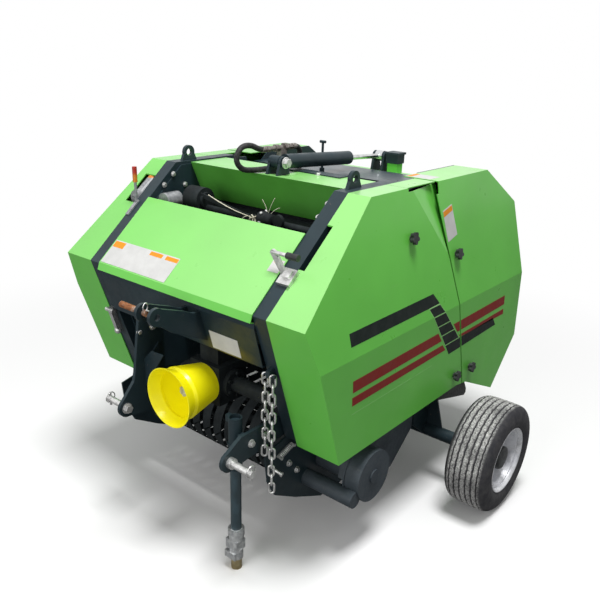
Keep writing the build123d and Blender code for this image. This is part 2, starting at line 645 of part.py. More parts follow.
def build_drive():
    back = BOX_FRONT + BOX_D
    box = brick(HITCH_X - BOX_W / 2, HITCH_X + BOX_W / 2, BOX_FRONT, back, PTO_Z - BOX_H / 2, PTO_Z + BOX_H / 2)
    box += brick(HITCH_X - 40, HITCH_X + 40, BOX_FRONT + 20, back - 20, PTO_Z + BOX_H / 2, BEAM_Z)
    right = HITCH_X + BOX_W / 2
    side_y = (BOX_FRONT + back) / 2
    box += rod_x(side_y, PTO_Z, 46, right, right + 16) + rod_x(side_y, PTO_Z, 26, right + 16, NEAR_PLATE_X)
    for i in range(6):
        a = math.radians(60 * i + 30)
        box += rod_x(side_y + 37 * math.cos(a), PTO_Z + 37 * math.sin(a), 6, right + 16, right + 23)
    for z in (-42, 0, 42):
        box += brick(HITCH_X - BOX_W / 2 - 6, HITCH_X - BOX_W / 2, BOX_FRONT + 14, back - 14, PTO_Z + z - 4, PTO_Z + z + 4)
    bore = PTO_ROOT_R + RUN_GAP
    box -= rod_y(HITCH_X, PTO_Z, bore, BOX_FRONT - 1, BOX_FRONT + 60)
    add("gearbox", box)
    shaft = rod_y(HITCH_X, PTO_Z, SPLINE_R, PTO_FRONT, SPLINE_END)
    shaft += rod_y(HITCH_X, PTO_Z, PTO_R, SPLINE_END, SHAFT_LAND_END)
    shaft += rod_y(HITCH_X, PTO_Z, PTO_ROOT_R, SHAFT_LAND_END, BOX_FRONT + 59)
    for i in range(SPLINES):
        groove = brick(PTO_ROOT_R, PTO_R + 5, PTO_FRONT - 1, SPLINE_END, -4.2, 4.2)
        shaft -= Pos(HITCH_X, 0, PTO_Z) * Rot(0, 360 / SPLINES * i, 0) * groove
    add("pto_shaft", shaft)
    mouth, neck, ring, back = 96, 81, 85, 64
    line = Polyline((mouth, GUARD_FRONT), (neck, GUARD_FRONT + 36), (ring, GUARD_FRONT + 46), (back, BOX_FRONT),
                    (PTO_R + 12, BOX_FRONT), (PTO_R + 12, BOX_FRONT - SHEET), (back - SHEET, BOX_FRONT - SHEET),
                    (ring - SHEET, GUARD_FRONT + 47), (neck - SHEET, GUARD_FRONT + 36),
                    (mouth - SHEET, GUARD_FRONT), close=True)
    guard = revolve(make_face(line), axis=Axis.Y)
    add("pto_guard", Pos(HITCH_X, 0, PTO_Z) * guard)


def band_outline(inset, rear):
    """A band's outline in Y and Z: round in front, with two level legs to the rear."""
    r = BAND_R - inset
    face = make_face(Polyline((PICKUP_Y, PICKUP_Z - r), (rear, PICKUP_Z - r), (rear, PICKUP_Z + r),
                              (PICKUP_Y, PICKUP_Z + r), close=True))
    return face + Pos(PICKUP_Y, PICKUP_Z) * Circle(r)


def build_pickup():
    inner = CHAMBER_HALF + PLATE
    plate = prism([(-455, POST_FOOT_Z), (-550, 410), (-545, 359), (-538, 304), (-504, 241), (-400, 178),
                   (-262, 110), (-150, 110), (BAND_REAR + 15, 138),
                   (BAND_REAR + 15, 400), (-330, POST_FOOT_Z)], inner, inner + PLATE)
    plate -= rod_x(PICKUP_Y, PICKUP_Z, ROLLER_SHAFT_R + RUN_GAP, inner - 1, inner + PLATE + 1)
    add_pair("pickup_plates", plate)
    pitch = 2 * (CHAMBER_HALF - 10) / BANDS
    first = -CHAMBER_HALF + 10 + pitch / 2
    section = band_outline(0, BAND_REAR) - band_outline(SHEET, BAND_REAR + 1)
    band = extrude(Plane.YZ * section, amount=BAND_W, dir=(1, 0, 0))
    bands = brick(-CHAMBER_HALF, CHAMBER_HALF, BAND_REAR - 8, BAND_REAR, PICKUP_Z + BAND_R - 30, PICKUP_Z + BAND_R)
    bands += brick(-inner, inner, BAND_REAR - 8, BAND_REAR, PICKUP_Z - BAND_R, PICKUP_Z - BAND_R + 30)
    for i in range(BANDS):
        bands += Pos(first + pitch * i - BAND_W / 2, 0, 0) * band
    add("pickup_bands", bands)
    reel = rod_x(0, 0, 20, -CHAMBER_HALF + 2, CHAMBER_HALF - 2)
    reel += rod_x(0, 0, ROLLER_SHAFT_R, -inner - PLATE, inner + PLATE)
    for x in (-CHAMBER_HALF + 5, CHAMBER_HALF - 5):
        reel += rod_x(0, 0, REEL_DISC_R, x - 3, x + 3)
    for i in range(TINE_BARS):
        bar = rod_x(BAR_CIRCLE, 0, TINE_BAR_R, -CHAMBER_HALF + 4, CHAMBER_HALF - 4)
        for k in range(BANDS - 1):
            x = first + pitch * (k + 0.5)
            wire = extrude(Plane.XZ * RegularPolygon(TINE_WIRE, 6), amount=TINE_R - BAR_CIRCLE, dir=(0, 1, 0))
            bar += Pos(x, BAR_CIRCLE, 0) * wire
        reel += Rot(360 / TINE_BARS * i, 0, 0) * bar
    add("pickup_reel", Pos(0, PICKUP_Y, PICKUP_Z) * reel)
    cover = rod_x(PICKUP_Y, PICKUP_Z, COVER_R, COVER_OUT - COVER_DEPTH, COVER_OUT)
    cover += rod_x(PICKUP_Y, PICKUP_Z, 50, inner + PLATE + SIDE_PLAY, COVER_OUT - COVER_DEPTH)
    cover += rod_x(PICKUP_Y - 92, PICKUP_Z - 48, 28, inner + PLATE, COVER_OUT - 6)
    cover += rod_x(PICKUP_Y, PICKUP_Z, 24, COVER_OUT, COVER_OUT + 5)
    cover += rod_x(PICKUP_Y, PICKUP_Z, COVER_R + 4, COVER_OUT - COVER_DEPTH, COVER_OUT - COVER_DEPTH + 6)
    case = prism([(PICKUP_Y - COVER_R + 5, PICKUP_Z), (PICKUP_Y, PICKUP_Z - COVER_R + 2), (-52, 192), (71, 296),
                  (71, BELLY[1] - 8), (PICKUP_Y - 40, BELLY[1] - 8)], COVER_OUT - COVER_DEPTH - 24,
                 COVER_OUT - COVER_DEPTH)
    add("pickup_drive_cover", cover + case)


def build_jack():
    sleeve = rod_z(JACK_X, JACK_Y, SLEEVE_R, SLEEVE_FOOT, SLEEVE_TOP)
    sleeve += brick(JACK_X, NEAR_PLATE_X, JACK_Y - 10, JACK_Y + 10, 430, 500)
    sleeve += rod_z(JACK_X, JACK_Y, SLEEVE_R + 3, SLEEVE_TOP - 92, SLEEVE_TOP - 84)
    sleeve += brick(JACK_X - SLEEVE_R - 12, JACK_X, JACK_Y - 8, JACK_Y + 8, SLEEVE_TOP - 22, SLEEVE_TOP)
    sleeve -= rod_z(JACK_X, JACK_Y, JACK_R + FIT_GAP, SLEEVE_FOOT - 1, SLEEVE_TOP + 1)
    add("jack_sleeve", sleeve)
    leg = rod_z(JACK_X, JACK_Y, JACK_R, 140, SLEEVE_TOP - 12)
    leg += rod_z(JACK_X, JACK_Y, JACK_R + 9, 128, 152) + rod_z(JACK_X, JACK_Y, JACK_R + 6, 110, 128)
    leg += brick(JACK_X - 27, JACK_X + 20, JACK_Y - 20, JACK_Y + 20, 76, 112)
    leg += rod_z(JACK_X, JACK_Y, JACK_R + 5, 40, 78)
    leg += brick(JACK_X - 29, JACK_X + 16, JACK_Y - 24, JACK_Y + 14, 42, 66)
    leg += rod_z(JACK_X, JACK_Y, JACK_FOOT_R, 0, 42)
    add("jack_leg", leg)


def build_lugs():
    x = POST_INNER + 10
    lug = prism([(LUG_Y - 34, TOP_Z), (LUG_Y - 16, LUG_Z + 12), (LUG_Y + 16, LUG_Z + 12), (LUG_Y + 34, TOP_Z)],
                x, x + HITCH_PLATE)
    lug += rod_x(LUG_Y, LUG_Z, LUG_R, x, x + HITCH_PLATE)
    lug -= rod_x(LUG_Y, LUG_Z, LUG_HOLE_R, x - 1, x + HITCH_PLATE + 1)
    add_pair("lifting_lugs", lug)


def build_knobs():
    star = Circle(KNOB_R * 0.7)
    for i in range(KNOB_LOBES):
        star += Rot(0, 0, 360 / KNOB_LOBES * i) * Pos(KNOB_R * 0.68, 0) * Circle(KNOB_R * 0.32)
    knob = Rot(0, 90, 0) * (Cylinder(KNOB_R * 0.45, 8, align=(Align.CENTER, Align.CENTER, Align.MIN))
                            + Pos(0, 0, 8) * extrude(star, amount=KNOB_H - 8))
    lean = (DOOR_OUTER - DOOR_TOP_X) / (TOP_Z - CREASE_Z)
    for name, places in (("front_door_knobs", FRONT_KNOBS), ("rear_door_knobs", REAR_KNOBS)):
        knobs = []
        for y, z in places:
            rise = max(z - CREASE_Z, 0)
            tilt = math.degrees(math.atan(lean)) if rise else 0
            near = Pos(DOOR_OUTER - lean * rise, y, z) * Rot(0, -tilt, 0) * knob
            knobs += [*near.solids(), *mirrored(near).solids()]
        if name == "front_door_knobs":
            grip = rod_x(CRANK_Y, CRANK_Z, 10, CRANK_GRIP, CRANK_TO)
            knobs += grip.solids()
        add(name, Compound(knobs))


def build_post_fittings():
    """The crank on the near post, the link on the far post, the twine lever and its tube."""
    x = POST_INNER + POST_W / 2
    base = on_slope(x + 12, CRANK_Y + 2)
    crank = base * Pos(0, 0, 6) * Box(46, 52, 12) + base * Pos(2, 4, 16) * Box(26, 24, 10)
    crank += rod_x(CRANK_Y, CRANK_Z, 6, CRANK_FROM, CRANK_GRIP)
    arm = Polyline((x - 8, slope_z(CRANK_Y) + 8), (CRANK_FROM - 8, CRANK_Z), (CRANK_FROM, CRANK_Z + 9),
                   (CRANK_FROM + 10, CRANK_Z + 5), (x + 12, slope_z(CRANK_Y) + 8), close=True)
    crank += extrude(Plane.XZ.offset(-CRANK_Y) * make_face(arm), amount=5, both=True)
    top, foot = 690.0, 606.0
    link = brick(-x - 7, -x + 7, shin_y(top) - 8, shin_y(top) + 30, top - 10, top + 10)
    link -= prism([(shin_y(top + 30), top + 30), (shin_y(foot), foot), (shin_y(foot) + 90, foot),
                   (shin_y(top + 30) + 90, top + 30)], -x - 30, -x + 30)
    link += prism([(shin_y(top) - 26, top + 10), (shin_y(foot) - 26, foot), (shin_y(foot) - 12, foot),
                   (shin_y(top) - 8, top + 10)], -x - 9, -x + 9)
    link += Pos(-x, shin_y(foot) - 20, foot) * Sphere(13)
    link += rod_x(shin_y(top) - 18, top, 8, -x - 20, -x + 20)
    add("post_fittings", Compound([*crank.solids(), *link.solids()]))
    foot_at = on_slope(LEVER_X, LEVER_Y)
    lever = foot_at * Pos(0, -22, 2.5) * Box(14, 66, 5)
    lever += rod_z(LEVER_X, LEVER_Y, 5, slope_z(LEVER_Y) - 2, LEVER_TOP) & brick(
        LEVER_X - 20, LEVER_X + 20, LEVER_Y - 20, LEVER_Y + 20, slope_z(LEVER_Y) + 5, LEVER_TOP)
    lever += rod_z(LEVER_X, LEVER_Y, 8, LEVER_TOP - 52, LEVER_TOP)
    tube_x, tube_z = -CHAMBER_HALF + 32, FEEDER_Z - 10
    tube = rod_y(tube_x, tube_z, 27, -352, FEEDER_Y - GUIDE_R - 6)
    tube += brick(-CHAMBER_HALF, tube_x, -345, -325, tube_z - 10, tube_z + 10)
    outer_x = -POST_INNER - POST_W - 28
    tube += rod_y(outer_x, tube_z, 24, -384, -290)
    tube += brick(outer_x, -POST_INNER - POST_W, -345, -325, tube_z - 6, tube_z + 8)
    add("twine_controls", Compound([*lever.solids(), *tube.solids()]))


def build_chains():
    """Two chains of low-poly links, fused where a link hangs in the next, on a hook on the near post."""
    half, narrow, wide = (LINK_PITCH + LINK_WIRE) / 2, LINK_W / 4, LINK_W / 2
    outer = Polyline((-narrow, -half), (narrow, -half), (wide, -half + narrow), (wide, half - narrow),
                     (narrow, half), (-narrow, half), (-wide, half - narrow), (-wide, -half + narrow), close=True)
    hole_half = half - LINK_WIRE + 0.6
    inner = Rectangle(LINK_W - 2 * LINK_WIRE, 2 * hole_half)
    link = extrude(Plane.XZ * (make_face(outer) - inner), amount=LINK_WIRE / 2, both=True)
    low, high = CHAIN_TOP - 12, CHAIN_TOP + 22
    rig = prism([(shin_y(low), low), (CHAIN_Y - 6, low + 4), (CHAIN_Y - 6, high - 6), (shin_y(high), high)],
                CHAINS[0][0] + 6, CHAINS[1][0] - 6)
    rig += rod_x(CHAIN_Y, CHAIN_TOP, LINK_WIRE / 2 + 1, CHAINS[0][0] - 10, CHAINS[1][0] + 8)
    for x, end in CHAINS:
        z = CHAIN_TOP - hole_half + 2
        k = 0
        while z - half > end:
            rig += Pos(x, CHAIN_Y, z) * Rot(0, 0, 90 if k % 2 == 0 else 0) * link
            z -= LINK_PITCH - 1
            k += 1
    add("safety_chains", rig)


def build_hoses():
    """Two oil hoses with their valve over the top beam."""
    valve = rod_y(VALVE_X, VALVE_Z, 8, VALVE_FRONT, VALVE_REAR)
    for y, r in ((VALVE_FRONT + 2, 11), (VALVE_FRONT + 44, 13), (-52, 15), (VALVE_REAR - 18, 11)):
        hexagon = Pos(VALVE_X, y, VALVE_Z) * extrude(Plane.XZ * RegularPolygon(r, 6), amount=16, dir=(0, 1, 0))
        valve += hexagon
    valve += brick(VALVE_X - 10, VALVE_X + 10, -74, -44, BEAM_TOP, VALVE_Z)
    block = (-12.0, -118.0, BEAM_TOP + 12)
    valve += brick(block[0] - 12, block[0] + 12, block[1] - 14, block[1] + 14, BEAM_TOP, block[2] + 12)
    valve += brick(VALVE_X - 8, block[0], block[1], -44, BEAM_TOP, BEAM_TOP + 8)
    low_end = (VALVE_X - 22, 58.0, GUARD_PLATE_Z + SHEET)
    fitting = rod_z(low_end[0], low_end[1], 11, low_end[2], low_end[2] + 16)
    add("hose_fittings", Compound([*valve.solids(), *fitting.solids()]))
    loop = tube_along([
        (VALVE_X, VALVE_FRONT, VALVE_Z), (VALVE_X, -168, VALVE_Z), (VALVE_X - 2, -210, VALVE_Z + 20),
        (VALVE_X - 6, -254, VALVE_Z + 16), (VALVE_X - 10, -274, VALVE_Z - 24), (VALVE_X - 8, -246, block[2] + 2),
        (VALVE_X + 2, -200, block[2] - 2), (block[0], -162, block[2]), (block[0], block[1] - 14, block[2]),
    ], HOSE_R)
    down = tube_along([
        (VALVE_X, VALVE_REAR, VALVE_Z), (VALVE_X, 20, VALVE_Z), (VALVE_X - 10, 50, VALVE_Z - 18),
        (low_end[0], low_end[1], low_end[2] + 45),
        (low_end[0], low_end[1], low_end[2] + 16),
    ], HOSE_R)
    add("oil_hoses", Compound([*loop.solids(), *down.solids()]))


def build_feeder():
    """Twine feeder in the bay: drum, arm, guide rail and knife holder."""
    drum_x = -CHAMBER_HALF + 82
    drum = rod_x(FEEDER_Y, FEEDER_Z, FEEDER_R, drum_x, drum_x + 72)
    drum += rod_x(FEEDER_Y, FEEDER_Z, FEEDER_R - 14, drum_x + 72, drum_x + 84)
    drum += rod_x(FEEDER_Y, FEEDER_Z - 26, GUIDE_R, -CHAMBER_HALF, CHAMBER_HALF)
    arm_from, arm_to = (drum_x + 62, FEEDER_Z + 22), (60.0, FEEDER_Z - 24)
    tilt = math.degrees(math.atan2(arm_from[1] - arm_to[1], arm_to[0] - arm_from[0]))
    length = math.hypot(arm_to[0] - arm_from[0], arm_to[1] - arm_from[1])
    middle = Pos((arm_from[0] + arm_to[0]) / 2, FEEDER_Y - 18, (arm_from[1] + arm_to[1]) / 2)
    drum += middle * Rot(0, tilt, 0) * Box(length, 6, 14)
    drum += brick(36, 176, FEEDER_Y - 21, FEEDER_Y - 15, FEEDER_Z - 36, FEEDER_Z - 8)
    drum += brick(60, 72, FEEDER_Y - 18, FEEDER_Y, FEEDER_Z - 34, FEEDER_Z - 12)
    drum += brick(150, 162, FEEDER_Y - 18, FEEDER_Y, FEEDER_Z - 34, FEEDER_Z - 12)
    drum += rod_y(168, FEEDER_Z - 8, 20, FEEDER_Y - 33, FEEDER_Y - 21)
    add("twine_feeder", drum)


def write():
    """Write each sub-part as its own file, moved so that the origin is under the middle."""
    front = min(shape.bounding_box().min.Y for shape in parts.values())
    rear = max(shape.bounding_box().max.Y for shape in parts.values())
    middle = (front + rear) / 2
    os.makedirs("parts", exist_ok=True)
    print("shift", -middle)
    for name, shape in parts.items():
        export_step(Pos(0, -middle, 0) * shape, f"parts/{name}.step")


build()
write()
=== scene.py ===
import json
import math

import bpy
import mathutils
import numpy as np
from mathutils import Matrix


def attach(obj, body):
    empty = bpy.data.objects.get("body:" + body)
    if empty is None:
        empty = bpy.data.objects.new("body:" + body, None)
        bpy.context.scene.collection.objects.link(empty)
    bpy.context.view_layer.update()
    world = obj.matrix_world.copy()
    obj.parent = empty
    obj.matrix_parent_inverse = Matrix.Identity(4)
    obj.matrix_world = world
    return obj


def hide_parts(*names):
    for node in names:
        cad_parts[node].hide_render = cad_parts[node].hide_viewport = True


bl_info = {
    "name": "Mini round baler looks",
    "version": (1, 0, 0),
    "blender": (4, 5, 0),
    "location": "View3D > Sidebar > Baler",
    "description": "Dresses the packed round baler: paint, tyres, chains, hoses, stripes and small fittings",
    "category": "Object",
}

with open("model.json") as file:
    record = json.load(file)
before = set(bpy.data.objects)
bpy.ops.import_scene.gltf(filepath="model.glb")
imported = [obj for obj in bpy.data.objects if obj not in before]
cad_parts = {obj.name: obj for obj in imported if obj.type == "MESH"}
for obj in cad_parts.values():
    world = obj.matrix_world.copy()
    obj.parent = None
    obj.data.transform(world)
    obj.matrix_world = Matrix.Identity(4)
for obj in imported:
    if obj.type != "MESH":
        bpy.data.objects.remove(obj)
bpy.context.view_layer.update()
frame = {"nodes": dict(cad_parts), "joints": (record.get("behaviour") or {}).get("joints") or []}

# Machine places in millimetres, with Y as in the CAD source before its shift to the middle of the box
HINGE_Y = 60.0
HINGE = next(joint for joint in frame["joints"] if joint["name"] == "tailgate_hinge")
SHIFT_Y = HINGE["pos_m"][1] * 1000 - HINGE_Y
CAMERA_PLACE = (1541.05, -1847.99, 1540.44)
# The camera's right, down and ahead directions, and its focal length, picture size and middle in pixels
CAMERA_AXES = ((0.76593196, 0.64233672, 0.02741858),
               (0.26117029, -0.27188741, -0.92621127),
               (-0.58748474, 0.71657573, -0.37600652))
FOCAL_PX, IMAGE_PX, CENTRE_PX = 679.4, 600, (300.2, 328.0)
# A side door's outer face in X, at its top edge and from its crease down, and the heights of both
DOOR_TOP, DOOR_OUT = 480.0, 560.0
TOP, CREASE = 1170.0, 746.0
# The posts' sloped face as (Y, Z): from the nose up to the top, and down to the foot
NOSE_Y, NOSE_Z, FRONT_TOP_Y = -602.0, 874.0, -257.0
FOOT_Y, FOOT_Z = -454.0, 432.0
PANEL_TOP, PANEL_FOOT = (-592.0, 832.0), (-556.0, 705.0)
WHEEL_X, WHEEL_Y, WHEEL_R = 727.0, 250.0, 203.0
CHAIN_Y, CHAIN_HOOK_Z = -560.0, 690.0
# How far the hood's and the front panel's outer faces stand off the posts' faces
HOOD_LIFT, PANEL_LIFT = 3.9, 3.0
# The line where front and rear doors meet, as (Y, Z)
SPLIT_TOP, SPLIT_BOTTOM = (95.0, 1165.0), (314.0, 412.0)


def place(points):
    """Machine places in millimetres as frame places in metres."""
    return (np.asarray(points, float) + (0, SHIFT_Y, 0)) / 1000


# Meshes


def mesh_piece(name, verts, faces, body, material, smooth=True, replaces=()):
    """A mesh object at the origin from vertices in metres, riding on a body."""
    mesh = bpy.data.meshes.new(name)
    mesh.from_pydata(np.asarray(verts, float).tolist(), [], [tuple(map(int, f)) for f in faces])
    mesh.update()
    if smooth:
        mesh.polygons.foreach_set("use_smooth", np.ones(len(mesh.polygons), bool))
    mesh.materials.append(material)
    piece = bpy.data.objects.new(name, mesh)
    bpy.context.scene.collection.objects.link(piece)
    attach(piece, body)
    if replaces:
        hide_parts(*replaces)


def grid_faces(rows, columns, wrap_rows=False, wrap_columns=False):
    """Quads over a grid of rows x columns points, joined round where asked."""
    r = np.arange(rows if wrap_rows else rows - 1)
    c = np.arange(columns if wrap_columns else columns - 1)
    i, j = np.meshgrid(r, c, indexing="ij")
    k, m = (i + 1) % rows, (j + 1) % columns
    return np.stack([i * columns + j, i * columns + m, k * columns + m, k * columns + j], -1).reshape(-1, 4)


class Batch:
    """Several closed shells, each of vertices and faces, gathered into one mesh."""

    def __init__(self, *shells):
        self.verts, self.faces, self.count = [], [], 0
        for shell in shells:
            self.add(*shell)

    def add(self, verts, faces):
        """One more shell, with its faces counted on from those before it."""
        verts = np.asarray(verts, float)
        self.verts.append(verts)
        self.faces += [[int(i) + self.count for i in f] for f in faces]
        self.count += len(verts)

    def piece(self, name, body, material, slot=None, smooth=True, replaces=()):
        """The gathered shells as one piece of the scene."""
        verts = np.concatenate(self.verts)
        mesh_piece(name, verts, self.faces, body, material, smooth, replaces)


def basis(axis):
    """Three unit vectors, the last along an axis."""
    w = np.asarray(axis, float)
    w = w / np.linalg.norm(w)
    other = np.array([0, 0, 1.0]) if abs(w[2]) < 0.9 else np.array([1.0, 0, 0])
    u = np.cross(other, w)
    u /= np.linalg.norm(u)
    return np.stack([u, np.cross(w, u), w])


def round_faces(rows, sides, closed):
    """Faces of a tube of rows x sides points: quads round it, and two end faces unless its rows close."""
    faces = grid_faces(rows, sides, wrap_rows=closed, wrap_columns=True).tolist()
    if not closed:
        faces.append(list(range(sides))[::-1])
        faces.append(list(range((rows - 1) * sides, rows * sides)))
    return faces


def lathe(profile, start, axis, sides, ring=False):
    """A profile of (radius, distance) turned round an axis: x = r cos a, y = r sin a, z = distance.
    The ends close on the axis, or a ring's profile closes on itself. Millimetres in, metres out."""
    profile = np.asarray(profile, float)
    a = np.arange(sides) * 2 * math.pi / sides
    r, z = profile[:, :1], np.broadcast_to(profile[:, 1:], (len(profile), sides))
    local = np.stack([r * np.cos(a), r * np.sin(a), z], -1).reshape(-1, 3)
    return place(local @ basis(axis) + np.asarray(start, float)), round_faces(len(profile), sides, ring)


def polygon_slab(corners, thick, normal):
    """A flat plate: a polygon of corners raised by thick along its normal, closed all round."""
    corners = np.asarray(corners, float)
    n = np.asarray(normal, float) / np.linalg.norm(normal)
    if np.cross(corners, np.roll(corners, -1, 0)).sum(0) @ n < 0:
        corners = corners[::-1]
    count = len(corners)
    verts = np.concatenate([corners, corners + n * thick])
    faces = [list(range(count))[::-1], list(range(count, 2 * count))]
    faces += [[i, (i + 1) % count, count + (i + 1) % count, count + i] for i in range(count)]
    return place(verts), faces


def hexagon_bolt(at, axis, across, height, washer=True):
    """A bolt head's shells: a turned washer disc, then a profile with a rounded top turned in six sides."""
    shells = []
    if washer:
        rim = across * 0.72
        shells.append(lathe([(rim, -0.5), (rim, 1.6), (across * 0.66, 2.0)], at, axis, 24))
    r = across / math.sqrt(3)
    head = [(r, 1.5), (r, height - 1.2), (r * 0.88, height), (r * 0.3, height + 0.4)]
    return shells + [lathe(head, at, axis, 6)]


def sweep_round(path, radius, sides, closed=False):
    """A round bar along a smooth path: at each point a circle across the path's direction.
    Frames turn as little as possible from point to point. Millimetres in, metres out."""
    path = np.asarray(path, float)
    count = len(path)
    ahead = np.roll(path, -1, 0) - np.roll(path, 1, 0)
    if not closed:
        ahead[0], ahead[-1] = path[1] - path[0], path[-1] - path[-2]
    ahead /= np.linalg.norm(ahead, axis=1)[:, None]
    side = np.zeros_like(path)
    side[0] = basis(ahead[0])[0]
    for i in range(1, count):
        s = side[i - 1] - (side[i - 1] @ ahead[i]) * ahead[i]
        side[i] = s / np.linalg.norm(s)
    up = np.cross(ahead, side)
    a = np.arange(sides) * 2 * math.pi / sides
    r = np.broadcast_to(np.asarray(radius, float), (count,))[:, None, None]
    circle = r * (np.cos(a)[None, :, None] * side[:, None] + np.sin(a)[None, :, None] * up[:, None])
    return place((path[:, None] + circle).reshape(-1, 3)), round_faces(count, sides, closed)


def oval(middle, reach, points=28):
    """A slanted ring's centre line: its middle plus (cos a, sin a, cos a) times its reach along each axis."""
    a = np.linspace(0, 2 * math.pi, points, endpoint=False)
    return np.stack([np.cos(a), np.sin(a), np.cos(a)], -1) * reach + middle


def bend_through(start, middle, end, t):
    """A quadratic through three places: start (1 - t)(1 - 2t) + middle 4t(1 - t) + end t(2t - 1)."""
    return start * (1 - t) * (1 - 2 * t) + middle * 4 * t * (1 - t) + end * t * (2 * t - 1)


def slope_z(y):
    """Height of the posts' sloped face at a place along Y."""
    return NOSE_Z + (y - NOSE_Y) / (FRONT_TOP_Y - NOSE_Y) * (TOP - NOSE_Z)


SLOPE_NORMAL = np.array([0, NOSE_Z - TOP, FRONT_TOP_Y - NOSE_Y])
SLOPE_NORMAL = SLOPE_NORMAL / np.linalg.norm(SLOPE_NORMAL)


def side_x(z):
    """X of a side door's outer face at a height: upright below the crease, leaning in above it."""
    return DOOR_OUT - max(z - CREASE, 0) * (DOOR_OUT - DOOR_TOP) / (TOP - CREASE)


# Finishes


class Graph:
    """A node graph. A node's inputs are other nodes' sockets, which are linked, or values, which are set."""

    def __init__(self, owner):
        owner.use_nodes = True
        self.tree = owner.node_tree
        self.tree.nodes.clear()

    def node(self, kind, inputs=(), **props):
        """A node with its properties and its inputs."""
        made = self.tree.nodes.new(kind)
        for key, value in props.items():
            setattr(made, key, value)
        for key, value in dict(inputs).items():
            if isinstance(value, bpy.types.NodeSocket):
                self.tree.links.new(value, made.inputs[key])
            else:
                made.inputs[key].default_value = value
        return made

    def math(self, operation, a, b=0.0, clamp=False):
        """A sum, product or other operation on two numbers."""
        return self.node("ShaderNodeMath", {0: a, 1: b}, operation=operation, use_clamp=clamp).outputs[0]

    def times(self, a, b):
        """A product of two numbers."""
        return self.math("MULTIPLY", a, b)

    def span(self, value, low, high, to_low=0.0, to_high=1.0, curve="LINEAR"):
        """A value between low and high carried over to another span, and held at its ends."""
        inputs = {"Value": value, "From Min": low, "From Max": high, "To Min": to_low, "To Max": to_high}
        return self.node("ShaderNodeMapRange", inputs, interpolation_type=curve).outputs[0]

    def coord(self):
        """Places on the piece, as Object coordinates."""
        return self.node("ShaderNodeTexCoord").outputs["Object"]


class Paint(Graph):
    """A material's graph with a Principled shader; plain numbers are set on the shader's own sockets."""

    def __init__(self, name, **sockets):
        self.material = bpy.data.materials.new(name)
        super().__init__(self.material)
        sockets = {key.replace("_", " "): value for key, value in sockets.items()}
        self.shader = self.node("ShaderNodeBsdfPrincipled", sockets)
        self.node("ShaderNodeOutputMaterial", {0: self.shader.outputs[0]})
        self.at = self.coord()

    def noise(self, scale, detail=3.0, rough=0.55, stretch=None):
        """Cloudy values about a half, finer with a larger scale."""
        vector = self.at
        if stretch:
            vector = self.node("ShaderNodeMapping", {"Vector": vector, "Scale": stretch}).outputs[0]
        inputs = {"Vector": vector, "Scale": scale, "Detail": detail, "Roughness": rough}
        return self.node("ShaderNodeTexNoise", inputs).outputs["Fac"]

    def cells(self, scale):
        """Distance to the nearest of many scattered points."""
        return self.node("ShaderNodeTexVoronoi", {"Vector": self.at, "Scale": scale}).outputs["Distance"]

    def upward(self, low, high):
        """How much a face looks up, from its true normal."""
        normal = self.node("ShaderNodeNewGeometry").outputs["Normal"]
        return self.span(self.node("ShaderNodeSeparateXYZ", {0: normal}).outputs[2], low, high)

    def near(self, middle, reach):
        """1 at a place, fading to 0 at a distance along each axis."""
        away = self.node("ShaderNodeVectorMath", {0: self.at, 1: middle}, operation="SUBTRACT").outputs[0]
        share = self.node("ShaderNodeVectorMath", {0: away, 1: reach}, operation="DIVIDE").outputs[0]
        far = self.node("ShaderNodeVectorMath", {0: share}, operation="LENGTH").outputs["Value"]
        return self.span(far, 0.25, 1.0, 1.0, 0.0)

    def axis(self, index):
        """Place along X, Y or Z, in metres."""
        return self.node("ShaderNodeSeparateXYZ", {0: self.at}).outputs[index]

    def wheel_radius(self):
        """Distance from the wheels' shared axis, in metres."""
        y = self.math("SUBTRACT", self.axis(1), (WHEEL_Y + SHIFT_Y) / 1000)
        z = self.math("SUBTRACT", self.axis(2), WHEEL_R / 1000)
        return self.math("SQRT", self.math("ADD", self.times(y, y), self.times(z, z)))

    def mix(self, factor, a, b):
        """Two colours mixed by a factor."""
        a, b = (c if isinstance(c, bpy.types.NodeSocket) else (*c[:3], 1.0) for c in (a, b))
        return self.node("ShaderNodeMix", {"Factor": factor, 6: a, 7: b}, data_type="RGBA").outputs[2]

    def spots(self, noise, low, high, most=1.0):
        """0 where a noise is low, and most where it is high."""
        return self.span(self.noise(*noise), low, high, 0.0, most)

    def mottle(self, noise, a, b, low=0.3, high=0.7):
        """One colour where a noise is low, another where it is high."""
        return self.mix(self.spots(noise, low, high), a, b)

    def feed(self, socket, output):
        """A pattern into one of the shader's sockets."""
        self.tree.links.new(output, self.shader.inputs[socket])

    def rough(self, noise, glossy, dull, high=0.7):
        """Roughness from glossy to dull by a noise."""
        self.feed("Roughness", self.span(self.noise(*noise), 0.3, high, glossy, dull))

    def bump(self, height, strength, distance):
        """Relief from a height pattern, on top of any relief before it."""
        before = self.shader.inputs["Normal"].links
        inputs = {"Height": height, "Strength": strength, "Distance": distance}
        if before:
            inputs["Normal"] = before[0].from_socket
        self.feed("Normal", self.node("ShaderNodeBump", inputs).outputs[0])

    def surface(self, tone, gloss_noise, glossy, dull, relief_noise, strength, distance):
        """Colour, mottled roughness and fine relief: the finished material."""
        self.feed("Base Color", tone)
        self.rough(gloss_noise, glossy, dull)
        self.bump(self.noise(*relief_noise), strength, distance)
        return self.material


def srgb(r, g, b):
    """Screen colour 0 to 255 as linear light."""
    c = np.array([r, g, b]) / 255
    return tuple(float(x) for x in np.where(c <= 0.04045, c / 12.92, ((c + 0.055) / 1.055) ** 2.4))


def shade(colour, share):
    """A colour made darker or lighter by a share."""
    return [min(1, c * share) for c in colour]


